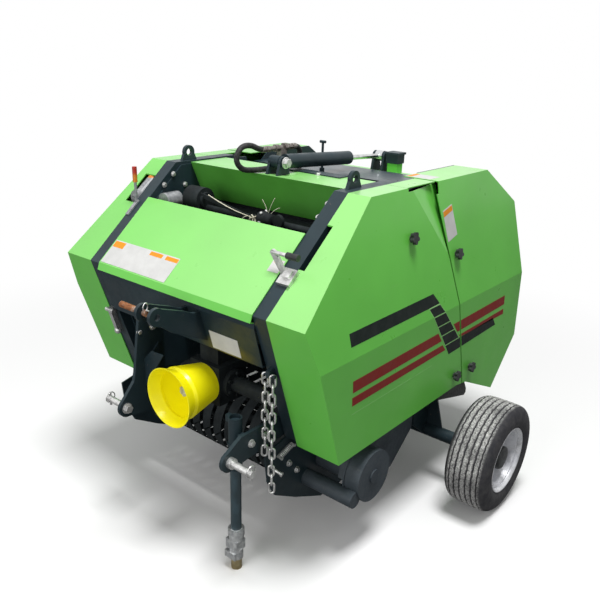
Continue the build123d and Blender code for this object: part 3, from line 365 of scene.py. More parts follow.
def green_graph(name, paint):
    """Glossy green with a painted sheen, paler where it looks up and more so towards +X; dusty on top,
    flecked and scuffed low down: the graph and its colour.
    """
    g = Paint(name, Metallic=0.0, Specular_IOR_Level=0.35, Coat_Weight=0.18, Coat_Roughness=0.12)
    tone = g.mottle((2.2, 3), shade(paint.green, 0.93), shade(paint.green, 1.07), 0.35, 0.65)
    # Painted sheen: faces that look up are paled towards a whitish green, more so towards +X, standing in for
    # the sky's reflection in the gloss.
    painted_sheen = g.times(g.upward(0.3, 0.72), g.span(g.axis(0), -0.35, 0.3, 0.45, 1.0))
    tone = g.mix(g.times(painted_sheen, paint.painted_sheen), tone, srgb(236, 255, 214))
    dust = g.times(g.upward(0.8, 0.98), g.spots((9, 6, 0.65), 0.42, 0.75, paint.dust * 0.5))
    tone = g.mix(dust, tone, srgb(158, 176, 150))
    fleck = g.times(g.span(g.cells(58), 0.02, 0.055, 1.0, 0.0), g.spots((3.1, 2), 0.57, 0.66))
    fleck = g.times(fleck, g.span(g.axis(2), 0.42, 0.66, 1.0, 0.25))
    tone = g.mix(g.times(fleck, paint.wear), tone, srgb(206, 226, 190))
    streak = g.spots((30, 4, 0.6, (1, 0.25, 2.5)), 0.62, 0.8, 0.18)
    tone = g.mix(g.times(streak, paint.wear), tone, srgb(150, 176, 120))
    g.rough((14, 5, 0.6), 0.27, 0.42, 0.75)
    g.bump(g.noise(700, 2, 0.5), 0.035, 0.0004)
    g.bump(g.noise(5.5, 2), 0.12, 0.004)
    return g, tone


def green_enamel(paint):
    """The doors' and the hood's green."""
    g, tone = green_graph("green_enamel", paint)
    g.feed("Base Color", tone)
    return g.material


def beam_green_painted_shade(paint):
    """Green with painted shade on the beam over the bay: its faces that do not look up are a darker green,
    standing in for the shade there.
    """
    g, tone = green_graph("beam_green_painted_shade", paint)
    # Painted shade: half to two-thirds of the green on faces that do not look up.
    painted_shade_green = g.mottle((3, 3), shade(paint.green, 0.5), shade(paint.green, 0.68), 0.35, 0.65)
    g.feed("Base Color", g.mix(g.upward(0.4, 0.6), painted_shade_green, tone))
    return g.material


# The tailgate's dark deck in metres: half its width, its rear end, and the height that it lies above
DECK_HALF, DECK_END, DECK_FLOOR = 0.344, (330 + SHIFT_Y) / 1000, 1.12


def gate_deck(paint):
    """Green enamel, with dark paint on the deck's front part between the posts."""
    g, tone = green_graph("gate_deck", paint)
    dark = g.mottle((14, 5), shade(paint.dark, 1.0), shade(paint.dark, 1.6))
    between = g.span(g.math("ABSOLUTE", g.axis(0)), DECK_HALF, DECK_HALF + 0.001, 1.0, 0.0)
    ahead = g.span(g.axis(1), DECK_END, DECK_END + 0.001, 1.0, 0.0)
    high = g.span(g.axis(2), DECK_FLOOR - 0.001, DECK_FLOOR)
    g.feed("Base Color", g.mix(g.times(g.times(between, ahead), high), tone, dark))
    return g.material


# The front panel's plate, and how far yellow mist reaches round it, in metres
PLATE_MIDDLE, MIST_REACH = tuple(place((215, -560, 716))), (0.13, 0.05, 0.042)


def dark_enamel(paint):
    """Blue-black frame paint with thin dust, small chips and yellow overspray round the type plate."""
    g = Paint("dark_enamel", Metallic=0.0, Specular_IOR_Level=0.3, Coat_Weight=0.06, Coat_Roughness=0.25)
    tone = g.mottle((5, 4), shade(paint.dark, 0.8), shade(paint.dark, 1.2))
    dust = g.times(g.upward(0.72, 1.0), g.spots((16, 6, 0.7), 0.4, 0.75, paint.dust * 0.4))
    tone = g.mix(dust, tone, srgb(92, 108, 108))
    chip = g.times(g.spots((120, 3, 0.6), 0.68, 0.72), g.spots((11, 2), 0.55, 0.62))
    tone = g.mix(g.times(chip, paint.wear), tone, srgb(128, 108, 92))
    mist = g.times(g.near(PLATE_MIDDLE, MIST_REACH), g.span(g.noise(38, 4), 0.3, 0.6, 0.6, 1.0))
    tone = g.mix(g.times(mist, paint.overspray), tone, srgb(122, 112, 34))
    g.surface(tone, (22, 5, 0.6), 0.32, 0.58, (420, 3, 0.5), 0.06, 0.0006)
    g.bump(g.noise(46, 4), 0.08, 0.001)
    return g.material


def grimy_black_painted_shade(paint):
    """Near-black paint with chaff spots on the pickup and the gearbox, darkened as painted shade for parts
    low under the machine.
    """
    g = Paint("grimy_black_painted_shade", Specular_IOR_Level=0.2)
    # Painted shade: the near-black tone stands in for the shade low under the machine; the pale spots are
    # chaff.
    tone = g.mottle((18, 5), srgb(14, 18, 20), srgb(34, 40, 42))
    tone = g.mix(g.spots((95, 5, 0.7), 0.66, 0.72, 0.5), tone, srgb(96, 92, 76))
    return g.surface(tone, (40, 4), 0.55, 0.85, (240, 4), 0.15, 0.0006)


def cover_plastic(paint):
    """Matt grey plastic of the pickup's drive cover."""
    g = Paint("cover_plastic", Specular_IOR_Level=0.3)
    tone = g.mottle((12, 4), srgb(50, 58, 64), srgb(66, 74, 80))
    tone = g.mix(g.spots((70, 5, 0.7), 0.6, 0.74, 0.3), tone, srgb(112, 114, 108))
    return g.surface(tone, (50, 4), 0.45, 0.68, (520, 3), 0.1, 0.0005)


# The tread's edges as distances from the machine's middle, and its worn crown as radii, in metres
TREAD_INSIDE, TREAD_OUTSIDE, CROWN = (0.650, 0.668), (0.782, 0.802), (0.1975, 0.2008)


def dusty_rubber(paint):
    """Black side walls, and a tread worn pale and rough."""
    g = Paint("dusty_rubber", Specular_IOR_Level=0.25)
    tone = g.mix(g.spots((34, 6, 0.65), 0.4, 0.75, 0.45), srgb(50, 50, 54), srgb(92, 91, 90))
    x = g.math("ABSOLUTE", g.axis(0))
    tread = g.times(g.span(x, *TREAD_INSIDE), g.span(x, *TREAD_OUTSIDE, 1.0, 0.0))
    crown = g.times(tread, g.span(g.wheel_radius(), *CROWN))
    worn = g.times(g.spots((170, 6, 0.75), 0.36, 0.6), g.span(g.noise(12, 3), 0.3, 0.55, 0.45, 1.0))
    tone = g.mix(g.times(crown, worn), tone, srgb(204, 203, 201))
    return g.surface(tone, (60, 4), 0.72, 0.95, (520, 4, 0.6), 0.25, 0.0006)


def silver_paint(paint):
    """Silver rims with a dark hub, grimier towards the tyre; radii in metres."""
    g = Paint("silver_paint", Metallic=0.3, Coat_Weight=0.2, Coat_Roughness=0.15)
    tone = g.mottle((18, 5), srgb(206, 208, 214), srgb(236, 237, 240))
    radius = g.wheel_radius()
    tone = g.mix(g.span(radius, 0.040, 0.046, 1.0, 0.0), tone, srgb(46, 48, 50))
    grime = g.times(g.spots((40, 5, 0.7), 0.5, 0.75), g.span(radius, 0.05, 0.115, 0.1, 0.5))
    tone = g.mix(grime, tone, srgb(96, 94, 88))
    return g.surface(tone, (55, 4), 0.3, 0.5, (240, 3), 0.08, 0.0006)


def yellow_plastic_painted_glow(paint):
    """Signal yellow plastic with faint moulding rings, and a faint painted glow of its own colour that
    lightens its shaded sides.
    """
    yellow = tuple(paint.yellow)
    # Painted glow: a faint emission in the plastic's own yellow that lightens its shaded sides.
    g = Paint("yellow_plastic_painted_glow", Coat_Weight=0.2, Coat_Roughness=0.2, Emission_Color=(*yellow, 1.0),
              Emission_Strength=0.12)
    tone = g.mottle((8, 4), shade(yellow, 0.92), yellow)
    tone = g.mix(g.spots((90, 5, 0.65, (1, 3, 1)), 0.62, 0.78, 0.3), tone, srgb(214, 190, 60))
    g.surface(tone, (30, 4), 0.3, 0.46, (600, 2), 0.05, 0.0005)
    wave = {"Vector": g.at, "Scale": 34.0, "Distortion": 0.6}
    g.bump(g.node("ShaderNodeTexWave", wave, bands_direction="Y").outputs["Fac"], 0.05, 0.0008)
    return g.material


def zinc(paint):
    """Bright zinc with brown stains."""
    g = Paint("zinc_plating", Metallic=0.8)
    tone = g.mottle((60, 5, 0.6), srgb(176, 176, 176), srgb(232, 232, 230))
    tone = g.mix(g.spots((25, 5, 0.7), 0.6, 0.74, 0.5), tone, srgb(120, 100, 74))
    return g.surface(tone, (80, 4), 0.28, 0.5, (330, 3), 0.12, 0.0005)


def old_zinc(paint):
    """Dull, brownish zinc of the oil fittings."""
    g = Paint("old_zinc", Metallic=0.55)
    tone = g.mottle((60, 5, 0.6), srgb(92, 84, 80), srgb(150, 146, 140))
    tone = g.mix(g.spots((38, 5, 0.7), 0.55, 0.7, 0.7), tone, srgb(72, 54, 44))
    return g.surface(tone, (80, 4), 0.35, 0.6, (330, 3), 0.15, 0.0005)


# Heights on the jack in metres: where its paint ends above the fittings, and where the rusty stub ends
JACK_FITTINGS, JACK_STUB = (0.1525, 0.1535), (0.040, 0.043)


def jack_finish(paint):
    """Dark paint above, zinc fittings below a height, rusty stub at the floor."""
    g = Paint("jack_paint_and_zinc", Coat_Weight=0.15, Coat_Roughness=0.25)
    z = g.axis(2)
    zone = g.span(z, *JACK_FITTINGS, 1.0, 0.0)
    dark = g.mottle((30, 5), shade(paint.dark, 1.3), shade(paint.dark, 2.3), 0.35)
    bright = g.mottle((70, 5), srgb(158, 162, 164), srgb(222, 224, 224))
    stub = g.mottle((50, 5), srgb(150, 134, 96), srgb(196, 180, 138))
    bright = g.mix(g.span(z, *JACK_STUB, 1.0, 0.0), bright, stub)
    g.feed("Metallic", g.times(zone, 0.7))
    return g.surface(g.mix(zone, dark, bright), (60, 4), 0.3, 0.5, (260, 4), 0.12, 0.0006)


def chrome(paint):
    """The rod's chrome, drawn along Y."""
    g = Paint("chromed_rod", Metallic=1.0)
    tone = g.mottle((40, 4), srgb(222, 224, 226), srgb(196, 196, 194), 0.4)
    return g.surface(tone, (60, 4, 0.6, (1, 6, 1)), 0.06, 0.2, (500, 2, 0.5, (1, 0.1, 1)), 0.02, 0.0003)


def black_moulding(paint):
    """Moulded black plastic of knobs, caps and rests."""
    g = Paint("black_moulding", Specular_IOR_Level=0.45)
    tone = g.mottle((60, 4), srgb(24, 26, 27), srgb(52, 55, 56), 0.35)
    return g.surface(tone, (90, 4), 0.36, 0.6, (900, 3), 0.12, 0.0004)


def hose_rubber(paint):
    """The oil hoses' rubber."""
    g = Paint("hose_rubber", Specular_IOR_Level=0.35)
    tone = g.mottle((120, 5), srgb(22, 22, 24), srgb(60, 60, 60), 0.35)
    return g.surface(tone, (70, 4), 0.5, 0.75, (650, 3), 0.2, 0.0004)


def rusty_steel(paint):
    """Rusty steel, worn bare in places."""
    g = Paint("rusty_steel", Metallic=0.25)
    rust = g.mottle((90, 6, 0.7), srgb(112, 66, 36), srgb(176, 116, 72), 0.35)
    tone = g.mottle((35, 5), rust, srgb(170, 160, 150), 0.5, 0.68)
    return g.surface(tone, (80, 4), 0.55, 0.85, (420, 5, 0.7), 0.4, 0.0007)


# Heights on the lever in metres: where its grip starts, and where the grip turns from orange to red
GRIP_FOOT, GRIP_RED = (1.112, 1.114), (1.134, 1.146)


def lever_finish(paint):
    """Zinc bar with a dipped red and orange grip above a height; the bay's grey tube lies lower."""
    g = Paint("lever_and_tube", Metallic=0.1)
    z = g.axis(2)
    bar = g.mottle((70, 5), srgb(112, 114, 118), srgb(164, 166, 168))
    dip = g.mix(g.span(z, *GRIP_RED), srgb(206, 124, 38), srgb(172, 40, 28))
    return g.surface(g.mix(g.span(z, *GRIP_FOOT), bar, dip), (70, 4), 0.35, 0.5, (300, 3), 0.1, 0.0005)


def twine_fibre(paint):
    """Pale, hairy twine."""
    g = Paint("twine_fibre", Specular_IOR_Level=0.1)
    tone = g.mottle((240, 4), srgb(196, 190, 168), srgb(226, 222, 204))
    return g.surface(tone, (120, 3), 0.75, 0.95, (1400, 3), 0.4, 0.0005)


def decal_film(name):
    """Printed film: one colour with a little fading and scuffing."""
    g = Paint(name, Specular_IOR_Level=0.12)
    colour = FILMS[name]
    tone = g.mottle((26, 5), colour, [c * 0.85 + 0.012 for c in colour], 0.35, 0.75)
    return g.surface(tone, (45, 4), 0.45, 0.6, (500, 2), 0.03, 0.0003)


FILMS = {
    "white_film": srgb(206, 206, 204), "orange_film": srgb(232, 148, 44), "red_film": srgb(134, 44, 40),
    "black_film": srgb(22, 31, 28), "pale_film": srgb(150, 205, 132),
}
FINISHES = {
    "green": green_enamel, "dark": dark_enamel, "rubber": dusty_rubber, "silver": silver_paint,
    "yellow": yellow_plastic_painted_glow, "zinc": zinc, "jack": jack_finish, "chrome": chrome, "black": black_moulding,
    "hose": hose_rubber, "rust": rusty_steel, "lever": lever_finish, "twine": twine_fibre, "deck": gate_deck,
    "beam": beam_green_painted_shade, "grime": grimy_black_painted_shade, "cover": cover_plastic, "old zinc": old_zinc,
}
made_finishes = {}


def finish(name):
    """The material of that name, made when it is first asked for."""
    if name not in made_finishes:
        film = name in FILMS
        made_finishes[name] = decal_film(name) if film else FINISHES[name](bpy.context.scene.baler_paint)
    return made_finishes[name]


# The starts of the CAD nodes' names that wear each finish
NODE_FINISH = {
    "green": ("hood", "top_flanges", "front_door_", "rear_door_"), "deck": ("back_panel",),
    # The grime finish and the beam finish carry painted shade: the pickup's and gearbox's near-black, and the
    # beam's darker faces that do not look up.
    "grime": ("pickup_bands", "pickup_reel", "gearbox", "front_roller_", "twine_feeder"),
    "beam": ("top_beam",), "cover": ("pickup_drive_cover",), "black": ("front_door_knobs", "rear_door_knobs"),
    "rubber": ("tyre_",), "silver": ("rim_",), "yellow": ("pto_guard",), "chrome": ("cylinder_rod",),
    "zinc": ("hitch_pins", "pto_shaft", "post_fittings", "safety_chains"), "old zinc": ("hose_fittings",),
    "jack": ("jack_leg",), "hose": ("oil_hoses",), "rust": ("top_link_pin",), "lever": ("twine_controls",),
}


def node_finish(node):
    """Which finish a CAD node wears: the longest name that fits, or dark paint."""
    fits = [(len(start), key) for key, starts in NODE_FINISH.items() for start in starts
            if node.startswith(start)]
    return max(fits)[1] if fits else "dark"


# Settings

COLOUR = {"subtype": "COLOR", "size": 3, "min": 0, "max": 1}
SHARE = {"subtype": "FACTOR", "min": 0, "max": 1}
LENGTH = {"subtype": "DISTANCE", "unit": "LENGTH"}


class PaintSettings(bpy.types.PropertyGroup):
    """Colours and wear of the paint"""

    green: bpy.props.FloatVectorProperty(
        name="Door green", description="Enamel of doors, hood and beam", default=srgb(104, 196, 76), **COLOUR)
    dark: bpy.props.FloatVectorProperty(
        name="Frame paint", description="Blue-black enamel of frame and hitch", default=srgb(31, 46, 52),
        **COLOUR)
    yellow: bpy.props.FloatVectorProperty(
        name="Guard yellow", description="Plastic of the drive shaft's guard", default=srgb(252, 242, 8),
        **COLOUR)
    # Painted sheen: how far up-facing green is paled to stand in for the sky's reflection.
    painted_sheen: bpy.props.FloatProperty(
        name="Painted sheen", description="How pale the green gets where it looks up", default=0.2, **SHARE)
    overspray: bpy.props.FloatProperty(
        name="Overspray", description="Yellow mist round the type plate", default=0.75, **SHARE)
    dust: bpy.props.FloatProperty(
        name="Dust", description="Share of dust on faces that look up", default=0.6, **SHARE)
    wear: bpy.props.FloatProperty(
        name="Wear", description="Flecks and scuffs in the paint", default=0.8, **SHARE)


class TyreSettings(bpy.types.PropertyGroup):
    """Size and tread of the tyres"""

    radius: bpy.props.FloatProperty(
        name="Radius", description="Tyre's outside radius", default=0.203, **LENGTH)
    width: bpy.props.FloatProperty(
        name="Width", description="Tyre's width", default=0.165, **LENGTH)
    groove: bpy.props.FloatProperty(
        name="Groove depth", description="Depth of the tread's grooves", default=0.0055, **LENGTH)
    teeth: bpy.props.IntProperty(
        name="Zigzags", description="Zigzags of a groove round the tyre", default=44, min=12, max=96)


class ChainSettings(bpy.types.PropertyGroup):
    """Size of the chains' links"""

    wire: bpy.props.FloatProperty(
        name="Wire", description="Thickness of a link's wire", default=0.0068, **LENGTH)
    pitch: bpy.props.FloatProperty(
        name="Pitch", description="Distance from link to link", default=0.030, **LENGTH)


class StageSettings(bpy.types.PropertyGroup):
    """Strength of the light"""

    key: bpy.props.FloatProperty(
        name="Key light", description="Power of the large lamp overhead", default=325.0, unit="POWER")
    fill: bpy.props.FloatProperty(
        name="Fill light", description="Power of the weak lamp in front", default=90.0, unit="POWER")
    sky: bpy.props.FloatProperty(
        name="Sky", description="Strength of the even light from all round", default=0.38, min=0, max=2)


# Pieces


class PaintFrame(bpy.types.Operator):
    """Give every CAD node its finish"""

    bl_idname = "baler.paint_frame"
    bl_label = "Paint the frame"

    def execute(self, context):
        for name, node in frame["nodes"].items():
            node.data.materials.clear()
            node.data.materials.append(finish(node_finish(name)))
        return {"FINISHED"}


class BuildTyres(bpy.types.Operator):
    """Ribbed tyres with wavering grooves, the rims' flanges and the hub caps"""

    bl_idname = "baler.build_tyres"
    bl_label = "Tyres"

    # Half of the tyre's section, bead to crown, as (distance across, radius), and the half width and radius
    # that it is drawn for
    SECTION = [(64, 111), (68, 116), (76, 127), (82, 143), (82.3, 158), (79, 176), (74, 189), (66, 197.5),
               (54, 201.3), (30, 202.6), (0, 203)]
    SECTION_HALF, SECTION_R = 82.5, 203.0
    # Which of the section's points the tread's finer rows start from and end at, and how far beyond
    TREAD_POINTS, TREAD_EDGE = (8, 12), 6.0
    ROWS, TREAD_ROWS, TURNS = 70, 84, 528
    # Each groove's middle, which way it swings first, and its half width
    GROOVES = ((-52, -1, 3.2), (-32, 1, 4.2), (-11, -1, 4.2), (11, 1, 4.2), (32, -1, 4.2), (52, 1, 3.2))
    SWING, GROOVE_WALL = 0.9, 1.6
    # A fine raised line round each side wall: its radius, width and height, and how far out the walls start
    LINE_R, LINE_WIDE, LINE_HIGH, WALL_X = 150.0, 2.2, 0.11, 70.0
    # The inner lining from bead to bead
    LINING = np.array([(60.0, 118.0), (66.0, 150.0), (-66.0, 150.0), (-60.0, 118.0)])
    # Sections as (radius, distance from the wheel's middle)
    FLANGE = [(114.6, 58), (115.4, 64), (118, 68.5), (121.6, 71.5), (123, 74.5), (121.5, 76.2),
              (118.6, 74.6), (113.8, 70), (111.2, 64), (110.4, 58)]
    CAP = [(41.6, 37.4), (43.5, 39), (43.5, 53), (41.5, 57), (34, 59.5), (12, 60.6), (4, 60.8)]

    def section(self, fit):
        """The whole section in rows close together over the tread, smoothed by a running mean of three."""
        left = [(-across, r) for across, r in self.SECTION]
        knots = np.array(left + self.SECTION[-2::-1], float) * fit
        run = np.concatenate([[0], np.cumsum(np.linalg.norm(np.diff(knots, axis=0), axis=1))])
        first, last = self.TREAD_POINTS
        tread = np.linspace(run[first] - self.TREAD_EDGE, run[last] + self.TREAD_EDGE, self.TREAD_ROWS)
        t = np.sort(np.concatenate([np.linspace(0, run[-1], self.ROWS), tread]))
        rows = np.stack([np.interp(t, run, knots[:, 0]), np.interp(t, run, knots[:, 1])], -1)
        rows[1:-1] = (rows[:-2] + rows[1:-1] + rows[2:]) / 3
        return rows

    def execute(self, context):
        s = context.scene.baler_tyre
        fit = np.array([s.width * 500 / self.SECTION_HALF, s.radius * 1000 / self.SECTION_R])
        rows = np.concatenate([self.section(fit), self.LINING * fit])
        angles = np.arange(self.TURNS) * 2 * math.pi / self.TURNS
        turn, across = np.meshgrid(angles, rows[:, 0], indexing="ij")
        radius = np.broadcast_to(rows[:, 1], turn.shape)
        outer = np.arange(len(rows)) < len(rows) - len(self.LINING)
        # Radius = section radius less the depth of the nearest groove, whose line swings as a triangle wave
        swing = self.SWING * (2 * np.abs((turn * s.teeth / (2 * math.pi)) % 1 * 2 - 1) - 1)
        cut = np.zeros_like(turn)
        for middle, sign, wide in self.GROOVES:
            off = np.abs(across - middle * fit[0] - sign * swing)
            cut = np.maximum(cut, np.clip((wide - off) / self.GROOVE_WALL, 0, 1))
        # The line's height is a bell curve over the radius
        line = self.LINE_HIGH * np.exp(-((radius - self.LINE_R) / self.LINE_WIDE) ** 2)
        line = line * (np.abs(across) > self.WALL_X)
        radius = radius - s.groove * 1000 * cut * outer
        across = across + np.sign(across) * line * outer
        points = np.stack([across, radius * np.cos(turn), radius * np.sin(turn)], -1).reshape(-1, 3)
        faces = grid_faces(self.TURNS, len(rows), wrap_rows=True, wrap_columns=True)[:, ::-1]
        for mirror, side in ((1, "near"), (-1, "far")):
            body, axis = "wheel_" + side, (mirror, 0, 0)
            middle = np.array([mirror * WHEEL_X, WHEEL_Y, WHEEL_R])
            mesh_piece("tread_tyre_" + side, place(points + middle), faces, body, finish("rubber"),
                       replaces=["tyre_" + side])
            flange = Batch(lathe(self.FLANGE, middle, axis, 96, ring=True))
            flange.piece("rim_flange_" + side, body, finish("silver"), "silver_rim")
            cap = Batch(lathe(self.CAP, middle, axis, 48))
            cap.piece("hub_cap_" + side, body, finish("black"), "black_plastic")
        return {"FINISHED"}


def link_loop(pitch, wire, bend=8.2, count=14):
    """Centre line of a chain link in its own plane: two half circles of radius bend, joined by straight
    sides. Neighbours that touch lie a pitch apart, so the half circles' centres stand
    (pitch + wire) / 2 - bend off the middle."""
    half = (pitch + wire) / 2 - bend
    a = np.linspace(0, math.pi, count)
    top = np.stack([bend * np.cos(a), half + bend * np.sin(a)], -1)
    return np.concatenate([top, -top])


class BuildChains(bpy.types.Operator):
    """Two hanging safety chains of round links on their hook"""

    bl_idname = "baler.build_chains"
    bl_label = "Safety chains"

    # Each chain's X and the height of its lower end
    STRANDS = ((362.0, 412.0), (390.0, 276.0))
    # The hook's bar along X, and the plate that carries it: X, thickness, and its reach down and up
    BAR_X, BAR_R = (352, 375, 400), 5.0
    PLATE_X, PLATE_THICK, PLATE_DOWN, PLATE_UP = 370, 14, 12, 22

    def execute(self, context):
        s = context.scene.baler_chain
        pitch, wire = s.pitch * 1000, s.wire * 1000
        batch = Batch()
        loop = link_loop(pitch, wire)
        for x, end in self.STRANDS:
            for k in range(int((CHAIN_HOOK_Z - end) / pitch)):
                # Every other link turns a quarter, with a little sway of its own
                turn = math.radians(42.2 + 90 * (k % 2) + 5 * math.sin(k * 2.3 + x))
                across = np.array([math.cos(turn), math.sin(turn), 0])
                middle = (x + 1.2 * math.sin(k * 1.7 + x), CHAIN_Y, CHAIN_HOOK_Z - (k + 0.5) * pitch)
                path = loop[:, :1] * across + loop[:, 1:] * np.array([0, 0, 1.0]) + middle
                batch.add(*sweep_round(path, wire / 2, 9, closed=True))
        batch.piece("safety_chain_links", "chassis", finish("zinc"), "zinc_steel",
                    replaces=["safety_chains"])
        bar = sweep_round([(x, CHAIN_Y, CHAIN_HOOK_Z) for x in self.BAR_X], self.BAR_R, 14)
        lean = (NOSE_Z - FOOT_Z) / (FOOT_Y - NOSE_Y)
        low, high = CHAIN_HOOK_Z - self.PLATE_DOWN, CHAIN_HOOK_Z + self.PLATE_UP
        foot, top = NOSE_Y + (NOSE_Z - low) / lean, NOSE_Y + (NOSE_Z - high) / lean
        outline = ((foot + 3, low), (CHAIN_Y - 7, low + 4), (CHAIN_Y - 7, high - 8), (top + 3, high))
        plate = polygon_slab([(self.PLATE_X, y, z) for y, z in outline], self.PLATE_THICK, (1, 0, 0))
        Batch(bar, plate).piece("chain_hook", "chassis", finish("dark"), "dark_paint", smooth=False)
        return {"FINISHED"}


class BuildHoses(bpy.types.Operator):
    """Oil hoses as smooth curves between their fittings"""

    bl_idname = "baler.build_hoses"
    bl_label = "Oil hoses"

    HOSE_R = 9.3
    ROUTES = {
        "oil_hose_loop": [(-30, -140, 1238), (-30, -168, 1238), (-32, -210, 1258), (-36, -254, 1254),
                          (-40, -274, 1214), (-38, -246, 1180), (-28, -200, 1176), (-12, -162, 1178),
                          (-12, -132, 1178)],
        "oil_hose_down": [(-30, -8, 1238), (-30, 20, 1238), (-40, 50, 1220), (-52, 58, 1186),
                          (-52, 58, 1157)],
    }
    # The ferrules' section as (radius, distance), and each one's place and direction
    FERRULE = [(10.2, 0), (10.4, 2), (9.9, 4), (9.9, 16), (9.4, 20), (8.4, 21.5)]
    FERRULES = (((-30, -141, 1238), (0, -1, 0)), ((-30, -7, 1238), (0, 1, 0)),
                ((-12, -131, 1178), (0, -1, 0)), ((-52, 58, 1156), (0, 0, 1)))

    def execute(self, context):
        for name, route in self.ROUTES.items():
            curve = bpy.data.curves.new(name, "CURVE")
            curve.dimensions = "3D"
            spline = curve.splines.new("NURBS")
            spline.points.add(len(route) - 1)
            spline.points.foreach_set("co", np.c_[place(route), np.ones(len(route))].ravel())
            spline.order_u = 3
            spline.use_endpoint_u = True
            spline.resolution_u = 10
            curve.bevel_depth, curve.bevel_resolution, curve.use_fill_caps = self.HOSE_R / 1000, 5, True
            curve.materials.append(finish("hose"))
            hose = bpy.data.objects.new(name, curve)
            context.scene.collection.objects.link(hose)
            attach(hose, "chassis")
            if name == "oil_hose_loop":
                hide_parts("oil_hoses")
        ferrules = Batch(*(lathe(self.FERRULE, at, axis, 24) for at, axis in self.FERRULES))
        ferrules.piece("hose_ferrules", "chassis", finish("old zinc"), "zinc_steel")
        return {"FINISHED"}


def side_plate(points, thick, mirror=1):
    """A decal on the side doors' outer face: corners of (Y, Z), laid on the upright or the leaning face."""
    upper = min(z for _, z in points) >= CREASE - 1
    lean = (DOOR_OUT - DOOR_TOP) / (TOP - CREASE)
    normal = (mirror, 0, lean) if upper else (mirror, 0, 0)
    corners = [(mirror * (side_x(z) + 0.05), y, z) for y, z in points]
    return polygon_slab(corners, thick, normal)


def meeting_y(z):
    """Y of the line where front and rear doors meet, at a height."""
    share = (z - SPLIT_BOTTOM[1]) / (SPLIT_TOP[1] - SPLIT_BOTTOM[1])
    return SPLIT_BOTTOM[0] + share * (SPLIT_TOP[0] - SPLIT_BOTTOM[0])


def keep_beside(shape, off):
    """The part of a (Y, Z) polygon where off(y, z) is above zero, cut along a straight line."""
    out = []
    for (y0, z0), (y1, z1) in zip(shape, shape[1:] + shape[:1]):
        a, b = off(y0, z0), off(y1, z1)
        if a > 0:
            out.append((y0, z0))
        if (a > 0) != (b > 0):
            t = a / (a - b)
            out.append((y0 + t * (y1 - y0), z0 + t * (z1 - z0)))
    return out


class BuildStripes(bpy.types.Operator):
    """Black and dark red stripes on the side doors, cut where front and rear doors meet"""

    bl_idname = "baler.build_stripes"
    bl_label = "Side stripes"

    # Outlines as (Y, Z): the steps between the black stripes have level edges and leaning ends
    STEP_TOP, STEP_FOOT = ((14.0, 82.0), 780.0), ((145.0, 242.0), 612.0)
    STEP_HEIGHTS = ((779.0, 747.0), (742.0, 702.5), (698.5, 661.0), (657.0, 616.0))
    BLACK = [[(-419, 822), (44, 824), (81, 784), (14, 783), (-416, 782)],
             [(145, 612), (518, 612), (549, 575), (176, 570)]]
    RED = [[(-407, 675), (82, 677), (112, 640), (-404, 637)],
           [(-406, 622), (122, 622), (147, 596), (-404, 594)],
           [(188, 680), (604, 682), (608, 644), (224, 641)],
           [(239, 624), (608, 625), (612, 603), (252, 614)]]
    # The films' clear carrier shows as a thin line below the front stripes, and as a paler band round the
    # steps: its head, its foot and how far it reaches beyond them
    CARRIER = [[(-406, 567), (62, 566), (62, 564.8), (-406, 565.8)]]
    BAND_HEAD, BAND_FOOT, BAND_EDGE = 784, 612, 2.5
    DOOR_GAP = 5.0

    def step_edges(self, z):
        """Left and right end of the steps at a height."""
        (top, top_z), (foot, foot_z) = self.STEP_TOP, self.STEP_FOOT
        share = (z - top_z) / (foot_z - top_z)
        return [a + share * (b - a) for a, b in zip(top, foot)]

    def block(self, high, low, grow=0.0):
        """One step between two heights, as (Y, Z) corners."""
        (y0, y1), (y2, y3) = self.step_edges(high), self.step_edges(low)
        return [(y0 - grow, high), (y1 + grow, high), (y3 + grow, low), (y2 - grow, low)]

    def execute(self, context):
        crease, edge, gap = CREASE - 0.5, self.BAND_EDGE, self.DOOR_GAP
        steps = [self.block(high, low) for high, low in self.STEP_HEIGHTS]
        bands = [self.block(self.BAND_HEAD, crease + 1, edge), self.block(crease, self.BAND_FOOT, edge)]
        layers = (("pale", bands + self.CARRIER, 0.2), ("black", self.BLACK + steps, 0.4),
                  ("red", self.RED, 0.4))
        parts = (("front", "chassis", lambda y, z: meeting_y(z) - gap - y),
                 ("rear", "tailgate", lambda y, z: y - meeting_y(z) - gap))
        for mirror, side in ((1, "near"), (-1, "far")):
            for label, body, off in parts:
                for colour, shapes, thick in layers:
                    cut = [keep_beside(shape, off) for shape in shapes]
                    batch = Batch(*(side_plate(kept, thick, mirror) for kept in cut if len(kept) > 2))
                    if batch.count:
                        name = f"{colour}_stripes_{label}_{side}"
                        batch.piece(name, body, finish(colour + "_film"), smooth=False)
        return {"FINISHED"}


